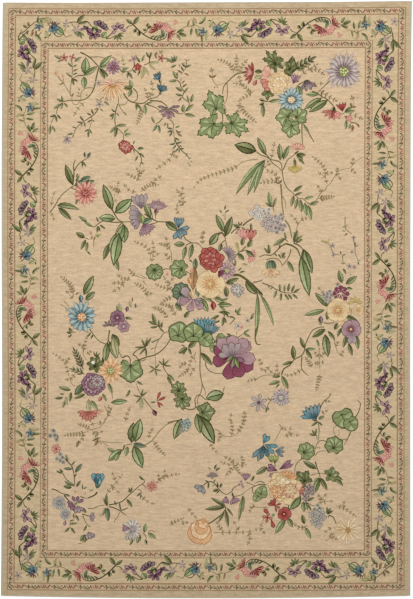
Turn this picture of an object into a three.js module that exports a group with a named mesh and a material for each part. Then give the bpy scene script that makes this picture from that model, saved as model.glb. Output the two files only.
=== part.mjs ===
// A flat-woven floor rug, lying flat on the floor, with its four edges overcast in yarn.
// Units are millimetres, +Z is up, +Y runs towards the head end, and the origin is on the
// floor under the middle of the rug's bounding box.

import * as THREE from "three";

// Driving sizes, in millimetres
const RUG_WIDTH = 1676;
const RUG_LENGTH = 2438;
const CLOTH_THICKNESS = 4;
const SIDE_EDGING_WIDTH = 9;
const END_EDGING_WIDTH = 5;
const EDGING_HEIGHT = 5;
const PIECE_GAP = 0.3;

// How far the outline strays from a true rectangle, in millimetres.
// The head end lies to the right of the foot end, its right corner is the higher one and its
// middle dips. The foot end bows out, the left side waves and the right side is hollow.
const HEAD_SHIFT = 3.7;
const HEAD_TILT = 3.2;
const HEAD_HOLLOW = 3.7;
const FOOT_BOW = 9.5;
const LEFT_WAVE = 2.5;
const RIGHT_HOLLOW = 4.2;
const RIGHT_HOLLOW_LEAN = 0.6;

// How finely the curved edges and the round section of the edging are cut
const SIDE_STEPS = 24;
const END_STEPS = 18;
const SECTION_STEPS = 12;
const SECTION_SQUARENESS = 0.75;
const FLOOR_CONTACT = 0.12;

// Colours
const CLOTH_COLOUR = 0xc9ab82;
const EDGING_COLOUR = 0xb5aa93;

const halfWidth = RUG_WIDTH / 2;
const halfLength = (RUG_LENGTH - FOOT_BOW + HEAD_HOLLOW) / 2;

// The four edges. across runs from -1 at the left side to 1 at the right side, and along runs
// from -1 at the foot end to 1 at the head end.
function leftEdge(along) {
  return -halfWidth + HEAD_SHIFT * along - LEFT_WAVE * Math.sin(Math.PI * along);
}

function rightEdge(along) {
  const fromHead = Math.max(0, (1 - along) / 2);
  const hollow = RIGHT_HOLLOW * Math.sin(Math.PI * fromHead ** RIGHT_HOLLOW_LEAN);
  return halfWidth + HEAD_SHIFT * along - hollow;
}

function headEdge(across) {
  return halfLength + HEAD_TILT * across - HEAD_HOLLOW * (1 - across * across);
}

function footEdge(across) {
  return -halfLength - FOOT_BOW * (1 - across * across);
}

// A point of the lying rug, blended between its four edges
function rugPoint(across, along) {
  const x = THREE.MathUtils.lerp(leftEdge(along), rightEdge(along), (across + 1) / 2);
  const y = THREE.MathUtils.lerp(footEdge(across), headEdge(across), (along + 1) / 2);
  return new THREE.Vector2(x, y);
}

// Evenly spaced values from one end to the other, both ends included
function evenSteps(from, to, steps) {
  return Array.from({ length: steps + 1 }, (_, step) => THREE.MathUtils.lerp(from, to, step / steps));
}

// A strip of cloth this wide, as a share of half the rug's width or of half its length
const shareOfWidth = (size) => size / halfWidth;
const shareOfLength = (size) => size / halfLength;

// The rectangle in across and along that a strip of the given widths leaves free
function insetLimits(sideInset, endInset) {
  return { across: 1 - shareOfWidth(sideInset), along: 1 - shareOfLength(endInset) };
}

// The outline inside such a strip, counter-clockwise from the foot end's left corner
function outline(limits) {
  const foot = evenSteps(-limits.across, limits.across, END_STEPS).map((u) => rugPoint(u, -limits.along));
  const right = evenSteps(-limits.along, limits.along, SIDE_STEPS).map((v) => rugPoint(limits.across, v));
  const head = evenSteps(limits.across, -limits.across, END_STEPS).map((u) => rugPoint(u, limits.along));
  const left = evenSteps(limits.along, -limits.along, SIDE_STEPS).map((v) => rugPoint(-limits.across, v));
  return [foot, right, head, left].flatMap((side) => side.slice(0, -1));
}

// The section of an edging: a flattened round that rests flat on the floor. Each point is its
// share of the width, from the outer side to the inner, and its height.
function edgingSection(height) {
  return evenSteps(0, 2 * Math.PI, SECTION_STEPS).slice(0, -1).map((turn) => {
    const soften = (value) => Math.sign(value) * Math.abs(value) ** SECTION_SQUARENESS;
    const level = (1 + soften(Math.sin(turn))) / 2;
    return { share: (1 - soften(Math.cos(turn))) / 2, height: level < FLOOR_CONTACT ? 0 : level * height };
  });
}

// A closed bar with one section ring at each station, and a fan over each end
function barAlong(stations, section) {
  const ring = section.length;
  const positions = stations.flatMap(({ outer, inner }) => section.flatMap(({ share, height }) => {
    const place = outer.clone().lerp(inner, share);
    return [place.x, place.y, height];
  }));
  const triangles = [];
  for (let station = 0; station + 1 < stations.length; station += 1) {
    for (let side = 0; side < ring; side += 1) {
      const near = station * ring + side;
      const nearNext = station * ring + (side + 1) % ring;
      triangles.push(near, nearNext, nearNext + ring, near, nearNext + ring, near + ring);
    }
  }
  const lastRing = (stations.length - 1) * ring;
  for (let side = 1; side + 1 < ring; side += 1) {
    triangles.push(0, side + 1, side, lastRing, lastRing + side, lastRing + side + 1);
  }
  const bar = new THREE.BufferGeometry();
  bar.setAttribute("position", new THREE.Float32BufferAttribute(positions, 3));
  bar.setIndex(triangles);
  bar.computeVertexNormals();
  return bar;
}

// The woven cloth: one flat sheet inside the edging
function clothGeometry() {
  const limits = insetLimits(SIDE_EDGING_WIDTH + PIECE_GAP, END_EDGING_WIDTH + PIECE_GAP);
  const sheet = new THREE.Shape(outline(limits));
  return new THREE.ExtrudeGeometry(sheet, { depth: CLOTH_THICKNESS, bevelEnabled: false });
}

// The edging of one long side, from the foot end's corner to the head end's
function sideEdgingGeometry(side) {
  const inside = side * (1 - shareOfWidth(SIDE_EDGING_WIDTH));
  const stations = evenSteps(side, -side, SIDE_STEPS).map((along) => (
    { outer: rugPoint(side, along), inner: rugPoint(inside, along) }
  ));
  return barAlong(stations, edgingSection(EDGING_HEIGHT));
}

// The edging of one end, between the two long sides
function endEdgingGeometry(end) {
  const inside = end * (1 - shareOfLength(END_EDGING_WIDTH));
  const reach = 1 - shareOfWidth(SIDE_EDGING_WIDTH + PIECE_GAP);
  const stations = evenSteps(-end * reach, end * reach, END_STEPS).map((across) => (
    { outer: rugPoint(across, end), inner: rugPoint(across, inside) }
  ));
  return barAlong(stations, edgingSection(EDGING_HEIGHT));
}

function namedMesh(name, geometry, colour) {
  const yarn = new THREE.MeshStandardMaterial({ color: colour, roughness: 0.95, metalness: 0 });
  const mesh = new THREE.Mesh(geometry, yarn);
  mesh.name = name;
  return mesh;
}

const LEFT = -1;
const RIGHT = 1;
const FOOT = -1;
const HEAD = 1;

const rug = new THREE.Group();
rug.add(namedMesh("rug_cloth", clothGeometry(), CLOTH_COLOUR));
rug.add(namedMesh("edging_left", sideEdgingGeometry(LEFT), EDGING_COLOUR));
rug.add(namedMesh("edging_right", sideEdgingGeometry(RIGHT), EDGING_COLOUR));
rug.add(namedMesh("edging_head", endEdgingGeometry(HEAD), EDGING_COLOUR));
rug.add(namedMesh("edging_foot", endEdgingGeometry(FOOT), EDGING_COLOUR));

// The rug is moved so that the middle of its bounding box is over the origin
const middle = new THREE.Box2().setFromPoints(outline({ across: 1, along: 1 })).getCenter(new THREE.Vector2());
rug.position.set(-middle.x, -middle.y, 0);

export default rug;
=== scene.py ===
import math

import bpy
import numpy as np
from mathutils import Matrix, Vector
from mathutils.geometry import delaunay_2d_cdt


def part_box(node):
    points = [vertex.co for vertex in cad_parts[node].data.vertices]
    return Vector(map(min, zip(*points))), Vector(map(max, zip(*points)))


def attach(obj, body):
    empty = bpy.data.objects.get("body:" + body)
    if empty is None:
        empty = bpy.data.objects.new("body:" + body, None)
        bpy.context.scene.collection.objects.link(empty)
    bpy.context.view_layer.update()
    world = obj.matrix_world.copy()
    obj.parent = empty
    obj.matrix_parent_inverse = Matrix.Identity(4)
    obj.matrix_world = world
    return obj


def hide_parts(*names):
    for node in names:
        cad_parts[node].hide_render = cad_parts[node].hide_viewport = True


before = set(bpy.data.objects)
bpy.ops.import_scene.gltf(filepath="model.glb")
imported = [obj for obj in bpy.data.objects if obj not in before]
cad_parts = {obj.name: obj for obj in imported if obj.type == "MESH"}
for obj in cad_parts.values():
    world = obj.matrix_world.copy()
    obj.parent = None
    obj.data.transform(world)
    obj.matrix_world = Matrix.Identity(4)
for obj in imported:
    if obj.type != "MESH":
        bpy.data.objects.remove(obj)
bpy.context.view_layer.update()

# A flat-woven floral rug with overcast edges, lying on the floor. Metres, +Z up, +Y to the head.
# The woven design is drawn in centimetres on a chart: right of the left side, down from the head.

# The rug's true rectangle, its thickness and its edging
RUG_WIDTH = 1.676
RUG_LENGTH = 2.438
CLOTH_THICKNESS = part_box("rug_cloth")[1][2]
EDGING_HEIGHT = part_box("edging_left")[1][2]
SIDE_EDGING_WIDTH = 0.009
END_EDGING_WIDTH = 0.005
PIECE_GAP = 0.0003

# How far the outline strays from that rectangle
HEAD_SHIFT = 0.0037
HEAD_TILT = 0.0032
HEAD_HOLLOW = 0.0037
FOOT_BOW = 0.0095
LEFT_WAVE = 0.0025
RIGHT_HOLLOW = 0.0042
RIGHT_HOLLOW_LEAN = 0.6
SIDE_STEPS = 24
END_STEPS = 18

# The woven bands keep straighter than the foot end
DESIGN_FOOT_BOW = 0.004

HALF_WIDTH = RUG_WIDTH / 2
HALF_LENGTH = (RUG_LENGTH - FOOT_BOW + HEAD_HOLLOW) / 2

# The chart, in centimetres
CM = 0.01
CHART_WIDTH = RUG_WIDTH / CM
CHART_LENGTH = 2 * HALF_LENGTH / CM


def left_edge(along):
    """The left side's x: the half width, sheared along the rug, with one wave of a sine."""
    return -HALF_WIDTH + HEAD_SHIFT * along - LEFT_WAVE * np.sin(np.pi * along)


def right_edge(along):
    """The right side's x: the half width, sheared, less half a sine that leans to the head."""
    from_head = np.clip((1 - along) / 2, 0, 1)
    hollow = RIGHT_HOLLOW * np.sin(np.pi * from_head**RIGHT_HOLLOW_LEAN)
    return HALF_WIDTH + HEAD_SHIFT * along - hollow


def head_edge(across):
    """The head end's y: the half length, tilted, less a parabola that dips in the middle."""
    return HALF_LENGTH + HEAD_TILT * across - HEAD_HOLLOW * (1 - across**2)


def foot_edge(across, bow=FOOT_BOW):
    """The foot end's y: minus the half length, less a parabola that bows in the middle."""
    return -HALF_LENGTH - bow * (1 - across**2)


STEPS_ACROSS = np.linspace(-1, 1, END_STEPS + 1)
STEPS_ALONG = np.linspace(-1, 1, SIDE_STEPS + 1)
MIDDLE = np.array(
    [
        (left_edge(STEPS_ALONG).min() + right_edge(STEPS_ALONG).max()) / 2,
        (foot_edge(STEPS_ACROSS).min() + head_edge(STEPS_ACROSS).max()) / 2,
    ]
)


def rug_point(across, along, bow=FOOT_BOW):
    """A point of the rug from -1..1 across and along: a straight blend of the left and right
    edges in x and of the foot and head edges in y, moved so that the outline is centred."""
    left, right = left_edge(along), right_edge(along)
    foot, head = foot_edge(across, bow), head_edge(across)
    x = left + (right - left) * (across + 1) / 2
    y = foot + (head - foot) * (along + 1) / 2
    return np.stack([x, y], axis=-1) - MIDDLE


def chart_to_rug(points):
    """Chart centimetres to metres on the rug, through rug_point."""
    across = points[:, 0] / CHART_WIDTH * 2 - 1
    along = 1 - points[:, 1] / CHART_LENGTH * 2
    return rug_point(across, along, DESIGN_FOOT_BOW)


# Dyes, as the yarns look in daylight. A plant's dyes run from its shadow to its light.
GROUND = "D7BD9B"
MARGIN = "C4AF8E"
BORDER_GROUND = "D0B994"
GUARD_GROUND = "C9B18F"
GUARD_BLUSH = "CCA88A"
GUARD_EDGE = "A08462"
GUARD_DARK = "5C5038"
GUARD_OLIVE = "746648"
GUARD_ROSE = "75523F"
BACK_GROUND = "BCA685"
EDGING = "BFB49C"
STEM = "605C34"
VINE = "76744A"
TWIG = "88784E"
DARK_STEM = "48452A"

GREENS = {
    # shadow, middle, light
    "dark": ("33321A", "6A6E44", "AAAE7E"),
    "leaf": ("3A3E20", "7E8458", "BCC092"),
    "fresh": ("444C2C", "8A9464", "C4CC9E"),
    "pale": ("78734C", "B0AA7E", "CCC49C"),
    "gold": ("84784A", "B6A472", "D0BF94"),
    "teal": ("3A4434", "6A785C", "A4AE8C"),
    "brown": ("665436", "887450", "B09C76"),
    "rust": ("785838", "A4805A", "C2A07A"),
}

DYES = {
    # shadow, middle, light, tip
    "coral": ("6E2C28", "B4685A", "CF9080", "E2B8A0"),
    "red": ("591C1C", "943A37", "B8665A", "D09484"),
    "burgundy": ("3C1222", "6C2A3A", "945466", "B88A90"),
    "pink": ("A8655C", "CC8A80", "E0AE9C", "EBCAB4"),
    "magenta": ("432032", "78505E", "A17C88", "C3A4A2"),
    "purple": ("342026", "6D545E", "9B8686", "C5B2A6"),
    "lilac": ("5D4A4D", "8F7D7F", "B2A29E", "D1C4B6"),
    "orchid": ("5B3A48", "95727C", "B79897", "D5BCAE"),
    "blue": ("29393C", "57727A", "8BA0A1", "C0CDC0"),
    "navy": ("232D2C", "3B5358", "658184", "9FB5AA"),
    "teal_blue": ("29454E", "4C7A84", "7EA6A7", "B0CABD"),
    "slate": ("4F4B4C", "817D7E", "A9A59E", "C8C1AE"),
    "cream": ("B08C5E", "D4B484", "E6CEA4", "EEDEBE"),
    "orange": ("A8703F", "CC9868", "E0B68A", "EBD0A8"),
    "peach": ("A06C54", "CC9880", "E0B49C", "EBCAB2"),
    "lime": ("5E6430", "929650", "BABC7C", "D6D6A6"),
    "yellow": ("8E763C", "C0A65C", "D8C284", "E8D8AA"),
    "white": ("6E6460", "A69C92", "CCC2B6", "E4DED0"),
}


def linear(hex_colour):
    """A dye's linear colour: sRGB's curve undone, ((value + 0.055) / 1.055) to the power 2.4."""
    srgb = np.array([int(hex_colour[i : i + 2], 16) / 255 for i in (0, 2, 4)])
    return np.where(srgb <= 0.04045, srgb / 12.92, ((srgb + 0.055) / 1.055) ** 2.4)


class Design:
    """The outlines woven into the cloth, each laid over those before it. An outline's dye runs
    from near to far along the line from start to end, and is even where there is no far."""

    def __init__(self, cloth_outline, dye):
        self.outlines = [cloth_outline]
        self.gradients = [(linear(dye), linear(dye), np.zeros(2), np.ones(2))]
        self.random = np.random.default_rng(11)
        self.stand()

    def stand(self, origin=(0, 0), axes=((1, 0), (0, 1))):
        """Draw what follows from this origin along these two axes of the chart."""
        self.origin = np.array(origin, float)
        self.axes = np.array(axes, float)

    def lay(self, outline, near, far=None, start=(0, 0), end=(1, 0), uneven=0.05):
        """Add one outline, counter-clockwise, its dye scaled by a small random amount."""
        metres = chart_to_rug(np.asarray(outline) @ self.axes + self.origin)
        after = np.roll(metres, -1, axis=0)
        turning = (metres[:, 0] * after[:, 1] - after[:, 0] * metres[:, 1]).sum()
        self.outlines.append(metres if turning > 0 else metres[::-1])
        shade = 1 + self.random.uniform(-uneven, uneven)
        line = chart_to_rug(np.array([start, end], float) @ self.axes + self.origin)
        self.gradients.append((linear(near) * shade, linear(far or near) * shade, line[0], line[1]))


def heading(turn):
    """Unit vectors forwards and to the right, turned clockwise by degrees from the head."""
    angle = math.radians(turn)
    return np.array([math.sin(angle), -math.cos(angle)]), np.array([math.cos(angle), math.sin(angle)])


def placed(shape, at, turn):
    """A shape of (forwards, to the right) points, turned and moved to its place."""
    forwards, aside = heading(turn)
    return np.array(at) + shape[:, :1] * forwards + shape[:, 1:] * aside


def blade(length, width, steps=4, lean=1.0, fullness=1.0, bend=0.0, side=0, gap=0.0):
    """A leaf or petal from its foot to its tip. Its half width is width / 2 times the sine of
    pi times t to the lean, to the power of fullness, about a rib that bends as t squared.
    side 1 or -1 gives only the half on that side, from the gap outwards."""
    t = np.linspace(0, 1, steps + 1)
    half = width / 2 * np.sin(np.pi * t**lean).clip(0) ** fullness
    rib = bend * length * t**2
    right = rib + (half if side >= 0 else -np.minimum(gap, half))
    left = rib - (half if side <= 0 else -np.minimum(gap, half))
    right_points = np.stack([t * length, right], axis=1)
    left_points = np.stack([t * length, left], axis=1)
    return np.concatenate([right_points, left_points[-2:0:-1]])


def smooth(points, per_span=3):
    """A Catmull-Rom curve through points: on each span the usual cubic of its four neighbours."""
    points = np.array(points, float)
    padded = np.concatenate([2 * points[:1] - points[1:2], points, 2 * points[-1:] - points[-2:-1]])
    t = np.linspace(0, 1, per_span + 1)[:-1, None, None]
    a, b, c, d = (padded[i : len(padded) - 3 + i] for i in range(4))
    cubic = 2 * b + (c - a) * t + (2 * a - 5 * b + 4 * c - d) * t**2 + (3 * b - a - 3 * c + d) * t**3
    return np.concatenate([cubic.swapaxes(0, 1).reshape(-1, 2) / 2, points[-1:]])


def ribbon(path, width, taper=0.6):
    """A band along a path: half the width to each side of it, narrowing to the taper."""
    run = np.gradient(path, axis=0)
    run /= np.linalg.norm(run, axis=1, keepdims=True)
    normal = np.stack([-run[:, 1], run[:, 0]], axis=1)
    half = width / 2 * np.linspace(1, taper, len(path))[:, None]
    return np.concatenate([path + normal * half, (path - normal * half)[::-1]])


def disc(at, radius, steps=6, squash=1.0):
    """A round outline: the cosine and sine of even angles, squashed up and down."""
    angle = np.linspace(0, 2 * np.pi, steps, endpoint=False)
    return np.array(at) + radius * np.stack([np.cos(angle), squash * np.sin(angle)], axis=1)


# Parts of plants, in centimetres. A small petal is so by its length times its width, and a
# petal's edge is a share of its width up to the widest edge.

STEM_WIDTH = 0.3
TINY_LEAF = 1.7
LARGE_LEAF = 2.9
SMALL_PETAL = 1.3
PETAL_EDGE = 0.15
WIDEST_EDGE = 0.17
GOLDEN_ANGLE = 137.5


def stem(design, points, dye=STEM, width=STEM_WIDTH, taper=0.6):
    """A stem through the points. It gives back its path, for the leaves along it."""
    path = smooth(points)
    design.lay(ribbon(path, width, taper), dye)
    return path


def leaf(design, at, length, turn, greens="leaf", width=0.36, bend=0.0, fullness=0.8):
    """A leaf: a dark outline, unless it is tiny a light half, and where it is large a mid green
    half across a dark rib."""
    dark, mid, light = GREENS[greens]
    broad = length * width
    forwards = heading(turn)[0]
    tip = np.array(at) + forwards * length
    if length < TINY_LEAF:
        design.lay(placed(blade(length, broad * 1.2, 2), at, turn), dark, light, at, tip)
        return
    steps = 4 if length < LARGE_LEAF else 5
    design.lay(placed(blade(length, broad, steps, 0.9, fullness, bend), at, turn), dark)
    inner = np.array(at) + forwards * length * 0.06
    gap = broad * 0.05
    light_half = blade(length * 0.88, broad * 0.82, steps - 1, 0.9, fullness, bend, 1, gap)
    design.lay(placed(light_half, inner, turn), mid, light, at, tip)
    if length >= LARGE_LEAF:
        mid_half = blade(length * 0.88, broad * 0.82, steps - 1, 0.9, fullness, bend, -1, gap)
        design.lay(placed(mid_half, inner, turn), dark, mid, at, inner + forwards * length * 0.4)


def spray(design, points, leaf_length, pairs, greens="leaf", dye=STEM, width=STEM_WIDTH,
          spread=52, leaf_width=0.36, first=0.15, paired=True):
    """A stem with leaves at even distances along it, in pairs or on alternate sides, and one at
    its tip. The leaves shrink by a third from the foot to the tip."""
    path = stem(design, points, dye, width)
    step = np.linalg.norm(np.diff(path, axis=0), axis=1)
    distance = np.concatenate([[0], np.cumsum(step)])
    at_distance = lambda where: np.array([np.interp(where, distance, axis) for axis in path.T])
    for number, share in enumerate(np.linspace(first, 0.9, pairs)):
        where = share * distance[-1]
        run = at_distance(where + 0.3) - at_distance(where - 0.3)
        direction = math.degrees(math.atan2(run[0], -run[1]))
        size = leaf_length * (1 - share / 3)
        for side in (-1, 1) if paired else ((-1) ** number,):
            leaf(design, at_distance(where), size, direction + side * spread, greens, leaf_width)
    run = path[-1] - path[-3]
    leaf(design, path[-1], leaf_length * 0.8, math.degrees(math.atan2(run[0], -run[1])), greens, leaf_width)


def lobed_leaf(design, at, radius, turn, greens="fresh", lobes=5, depth=0.14, notch=0.45, long=1.0):
    """A broad leaf: a dark edge round a mid green face, with a light patch beside a dark vein in
    each lobe. Its reach is the radius times 1 plus depth times the wave, less the notch times a
    narrow bell at the stalk. The wave is the cosine of lobes times the angle and a third of that of
    four times as much for teeth. The whole leaf is stretched forwards by long."""
    dark, mid, light = GREENS[greens]
    angle = np.linspace(-np.pi, np.pi, 8 * lobes, endpoint=False)
    wave = np.cos(lobes * angle) + 0.35 * np.cos(4 * lobes * angle)
    reach = radius * (1 + depth * wave) * (1 - notch * np.exp(-(((np.pi - np.abs(angle)) / 0.4) ** 2)))
    outline = np.stack([long * reach * np.cos(angle), reach * np.sin(angle)], axis=1)
    foot, tip = placed(np.array([(-0.5 * radius * long, 0), (radius * long, 0)]), at, turn)
    design.lay(placed(outline, at, turn), dark)
    design.lay(placed(outline * 0.9, at, turn), mid)
    ways = (np.arange(lobes) - (lobes - 1) / 2) * 2 * np.pi / lobes * 0.92
    runs = np.stack([long * np.cos(ways), np.sin(ways)], axis=1) * radius * 0.9
    for run in runs:
        along = run / np.linalg.norm(run)
        patch = blade(np.linalg.norm(run) * 0.84, radius * 3.4 / lobes, 4, 1.5, 0.8, 0, 1, 0.1)
        points = run * 0.12 + patch[:, :1] * along + patch[:, 1:] * np.array([-along[1], along[0]])
        design.lay(placed(points, at, turn), mid, light, foot, tip)
    for run in runs:
        vein = placed(np.array([(-0.4 * radius * long, 0), run * 0.36 - (0.1 * radius, 0), run]), at, turn)
        design.lay(ribbon(smooth(vein, 2), 0.3 + radius * 0.03, 0.3), dark)


def ring(design, at, turn, count, reach, width, dyes, start=0.0, lean=1.6, fullness=0.8, squash=1.0,
         spread=360, jitter=0.0, seed=1):
    """A ring or a fan of petals, from the shadow dye at the foot to the light one at the tip.
    A petal whose length times its width is not small has a dark outline round a lighter middle.
    squash shortens the petals along the way that the ring faces, and jitter varies their length
    and place."""
    shadow, mid, light = dyes[:3]
    random = np.random.default_rng(seed)
    gap = 360 / count if spread == 360 else spread / max(count - 1, 1)
    ways = gap * np.arange(count) if spread == 360 else gap * (np.arange(count) - (count - 1) / 2)
    order = np.argsort(-np.abs(ways), kind="stable") if spread < 360 else np.arange(count)
    for way in ways[order]:
        along = turn + way + random.uniform(-1, 1) * jitter * gap
        shorter = 1 - (1 - squash) * abs(math.cos(math.radians(way)))
        length = reach * shorter * (1 + random.uniform(-1, 1) * jitter)
        forwards = heading(along)[0]
        foot = np.array(at) + forwards * start
        tip = np.array(at) + forwards * length
        size = length - start
        if size * width < SMALL_PETAL:
            petal = blade(size, width, 2 if width < 0.3 else 3, lean, fullness)
            design.lay(placed(petal, foot, along), shadow, light, foot, tip)
            continue
        steps = 3 if length < 3 else 4 if width < 2.2 else 7
        edge = min(PETAL_EDGE * width, WIDEST_EDGE)
        petal = blade(size, width, steps, lean, fullness)
        inside = blade(size - 1.3 * edge, width - 2 * edge, max(steps - 1, 3), lean, fullness)
        design.lay(placed(petal, foot, along), shadow)
        design.lay(placed(inside, foot, along), mid, light, foot, tip)


def dots(design, at, radius, count, dye, size, seed=1.0):
    """Specks within a radius, spread by the golden angle."""
    turn = np.arange(count) * 2.4 + seed
    reach = radius * np.sqrt((np.arange(count) + 0.5) / count)
    for x, y in zip(reach * np.cos(turn), reach * np.sin(turn)):
        design.lay(disc(np.array(at) + (x, y), size, 5), dye)


# Kinds of flower. Each draws one head of the given reach at its place, facing its turn.


def star(design, at, reach, turn, dye, petals=5, width=0.4):
    """A small open flower of narrow petals with a dark heart."""
    dyes = DYES[dye]
    ring(design, at, turn, petals, reach, reach * width, (dyes[0], dyes[1], dyes[3]), lean=1.2)
    design.lay(disc(at, reach * 0.18), dyes[0])


def floret(design, at, reach, turn, dye, petals=5):
    """A small round flower of broad petals with dark lines and a light heart."""
    dyes = DYES[dye]
    ring(design, at, turn, petals, reach, reach * 0.85, dyes, lean=1.9, fullness=0.6)
    ring(design, at, turn, petals, reach * 0.6, reach * 0.2, (dyes[0], dyes[0], dyes[1]))
    design.lay(disc(at, reach * 0.16), dyes[3])


def daisy(design, at, reach, turn, dye, heart="yellow", petals=13, squash=1.0, slim=0.26):
    """Light petals, uneven in length, over a ring of darker ones, round a domed heart."""
    dyes = DYES[dye]
    ring(design, at, turn + 150 / petals, petals, reach * 0.88, reach * slim, dyes, reach * 0.15,
         1.1, 0.9, squash, jitter=0.1, seed=2)
    ring(design, at, turn, petals, reach, reach * slim, dyes[1:], reach * 0.2,
         1.3, 0.8, squash, jitter=0.16)
    ring(design, at, turn + 60 / petals, petals, reach * 0.54, reach * 0.08, (dyes[0], dyes[0], dyes[1]),
         squash=squash)
    hearts = DYES[heart]
    design.lay(disc(at, reach * 0.28, 8, squash), hearts[1])
    dots(design, at, reach * 0.24, 9, hearts[0], reach * 0.05)
    dots(design, at, reach * 0.22, 8, hearts[3], reach * 0.06, 2.0)


def dahlia(design, at, reach, turn, dye, petals=12, squash=1.0, rings=4):
    """Rings of short petals, each ring smaller and turned by half a petal."""
    dyes = DYES[dye]
    for level in range(rings):
        share = 1 - level / (rings + 0.4)
        count = max(5, round(petals * (1 - 0.14 * level)))
        shades = dyes if level % 2 == 0 else (dyes[0], dyes[2], dyes[3])
        ring(design, at, turn + level * 180 / count, count, reach * share, reach * 0.56 * share, shades,
             reach * share * 0.3, 1.9, 0.6, squash, jitter=0.07, seed=level)


def peony(design, at, reach, turn, dye, squash=1.0, inner=None):
    """A full ruffled head: four rings of broad petals crowded into one another."""
    crown = DYES[inner or dye]
    for level, (share, petals) in enumerate(((1, 9), (0.78, 8), (0.56, 7), (0.34, 5))):
        dyes = DYES[dye] if level == 0 else crown if level % 2 else (crown[0], crown[2], crown[3])
        ring(design, at, turn + 23 * level, petals, reach * share, reach * share * 0.6, dyes, 0,
             2.2, 0.5, squash, jitter=0.12, seed=level)


def mallow(design, at, reach, turn, dye, heart="burgundy", squash=1.0, petals=5):
    """A wide flower of broad petals with veins and a dark throat."""
    dyes = DYES[dye]
    ring(design, at, turn, petals, reach, reach * 5.4 / petals, dyes, 0, 1.8, 0.5, squash, jitter=0.06)
    throat = (DYES[heart][0], DYES[heart][1], dyes[1])
    ring(design, at, turn, petals * 3, reach * 0.6, reach * 0.1, throat, 0, 0.8, 0.8, squash)
    ring(design, at, turn, petals, reach * 0.36, reach * 0.24, throat, 0, 1.0, 0.8, squash)
    design.lay(disc(at, reach * 0.12, 7), DYES["yellow"][2])


def fan(design, at, reach, turn, dye, petals=7, spread=110, width=0.34, calyx=None):
    """A flower seen from its side: petals fanned out of a green cup at its foot, blunt where
    they are broad, with dark lines at their foot."""
    dyes = DYES[dye]
    lean, fullness = (2.2, 0.5) if width > 0.35 else (1.7, 0.8)
    ring(design, at, turn, petals, reach, reach * width, dyes, 0, lean, fullness,
         spread=spread, jitter=0.06)
    ring(design, at, turn, petals, reach * 0.5, reach * 0.08, (dyes[0], dyes[0], dyes[1]), spread=spread)
    if calyx:
        leaf(design, np.array(at) - heading(turn)[0] * reach * 0.22, reach * 0.48, turn, calyx, 0.62)


def bud(design, at, reach, turn, dye, calyx=None):
    """A closed bud: one full petal with a light side, in a green cup of two leaves."""
    dyes = DYES[dye]
    forwards = heading(turn)[0]
    tip = np.array(at) + forwards * reach
    light_side = blade(reach * 0.84, reach * 0.44, 4, 1.2, side=1)
    design.lay(placed(blade(reach, reach * 0.62, 5, 1.2), at, turn), dyes[0], dyes[1], at, tip)
    design.lay(placed(light_side, at, turn), dyes[1], dyes[3], at, tip)
    if calyx:
        foot = np.array(at) - forwards * reach * 0.15
        for side in (-1, 1):
            leaf(design, foot, reach * 0.6, turn + side * 26, calyx, 0.34)


def spider(design, at, reach, turn, dye, petals=9, spread=300, curl=0.5):
    """Long thin petals, dark at the edge and light in the middle, each an arc that curls to the
    side as it leaves the heart. Every other petal is shorter."""
    dyes = DYES[dye]
    t = np.linspace(0, 1, 5)
    for number, way in enumerate(np.linspace(-spread / 2, spread / 2, petals)):
        size = reach * (1 - 0.24 * (number % 2))
        aside = curl * math.copysign(0.6, way) * size * t**2
        path = placed(np.stack([size * t * (1.1 - 0.1 * t), aside], axis=1), at, turn + way)
        design.lay(ribbon(path, reach * 0.14, 1.2), dyes[0])
        design.lay(ribbon(path[1:], reach * 0.09, 1.3), dyes[1 + number % 2], dyes[3], path[0], path[-1])


def thistle(design, at, reach, turn, dye, petals=10, spread=130):
    """A brush of narrow petals over a scaly green cup."""
    dyes = DYES[dye]
    ring(design, at, turn, petals, reach, reach * 0.18, dyes, lean=1.5, spread=spread, jitter=0.1)
    ring(design, at, turn, petals - 4, reach * 0.66, reach * 0.13, (dyes[0], dyes[1], dyes[3]),
         spread=spread * 0.8)
    leaf(design, np.array(at) - heading(turn)[0] * reach * 0.28, reach * 0.5, turn, "leaf", 0.7)


def cluster(design, at, reach, turn, dye, florets=9):
    """A round head of small florets, spread by the golden angle."""
    angle = np.arange(florets) * GOLDEN_ANGLE + turn
    distance = reach * 0.8 * np.sqrt((np.arange(florets)[::-1] + 0.3) / florets)
    for way, far in zip(angle, distance):
        ring(design, np.array(at) + heading(way)[0] * far, way, 5, reach * 0.46, reach * 0.3,
             (DYES[dye][0], DYES[dye][2], DYES[dye][3]), lean=1.4)


def disc_heart(design, at, reach, turn, dye):
    """A small light spot."""
    design.lay(disc(at, reach), DYES[dye][3])


def rose(design, at, reach, turn, dye):
    """An open rose: one cup inside another, each a little nearer to the bloom's face."""
    dyes = DYES[dye]
    for level in range(5):
        share = 1 - level * 0.19
        centre = np.array(at) - heading(turn)[0] * reach * 0.24 * level
        shades = dyes if level % 2 == 0 else (dyes[0], dyes[2], dyes[3])
        ring(design, centre, turn + level * 34, 5, reach * share, reach * share * 1.05, shades, 0,
             2.1, 0.5, 0.92, jitter=0.05, seed=level)


PALM_WIDTH = 0.24


def palm_leaf(design, right, down, reach, ways, greens="dark"):
    """Narrow leaflets round a point, one for each of the ways in degrees. The point and the
    reach are in millimetres."""
    for way in ways:
        leaf(design, (right / 10, down / 10), reach / 10, way, greens, PALM_WIDTH)


# Rows of the field's tables, in millimetres on the chart. A stem's width there counts units of
# STEM_UNIT centimetres, and a fern's leaf is its length over FERN_LEAF, in centimetres.

BROAD = 0.5
SLIM = 0.33
STEM_UNIT = 0.115
FERN_LEAF = 9
FERN_STEM = 0.26
FERN_SPREAD = 52
FERN_WIDTH = 0.44


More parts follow.
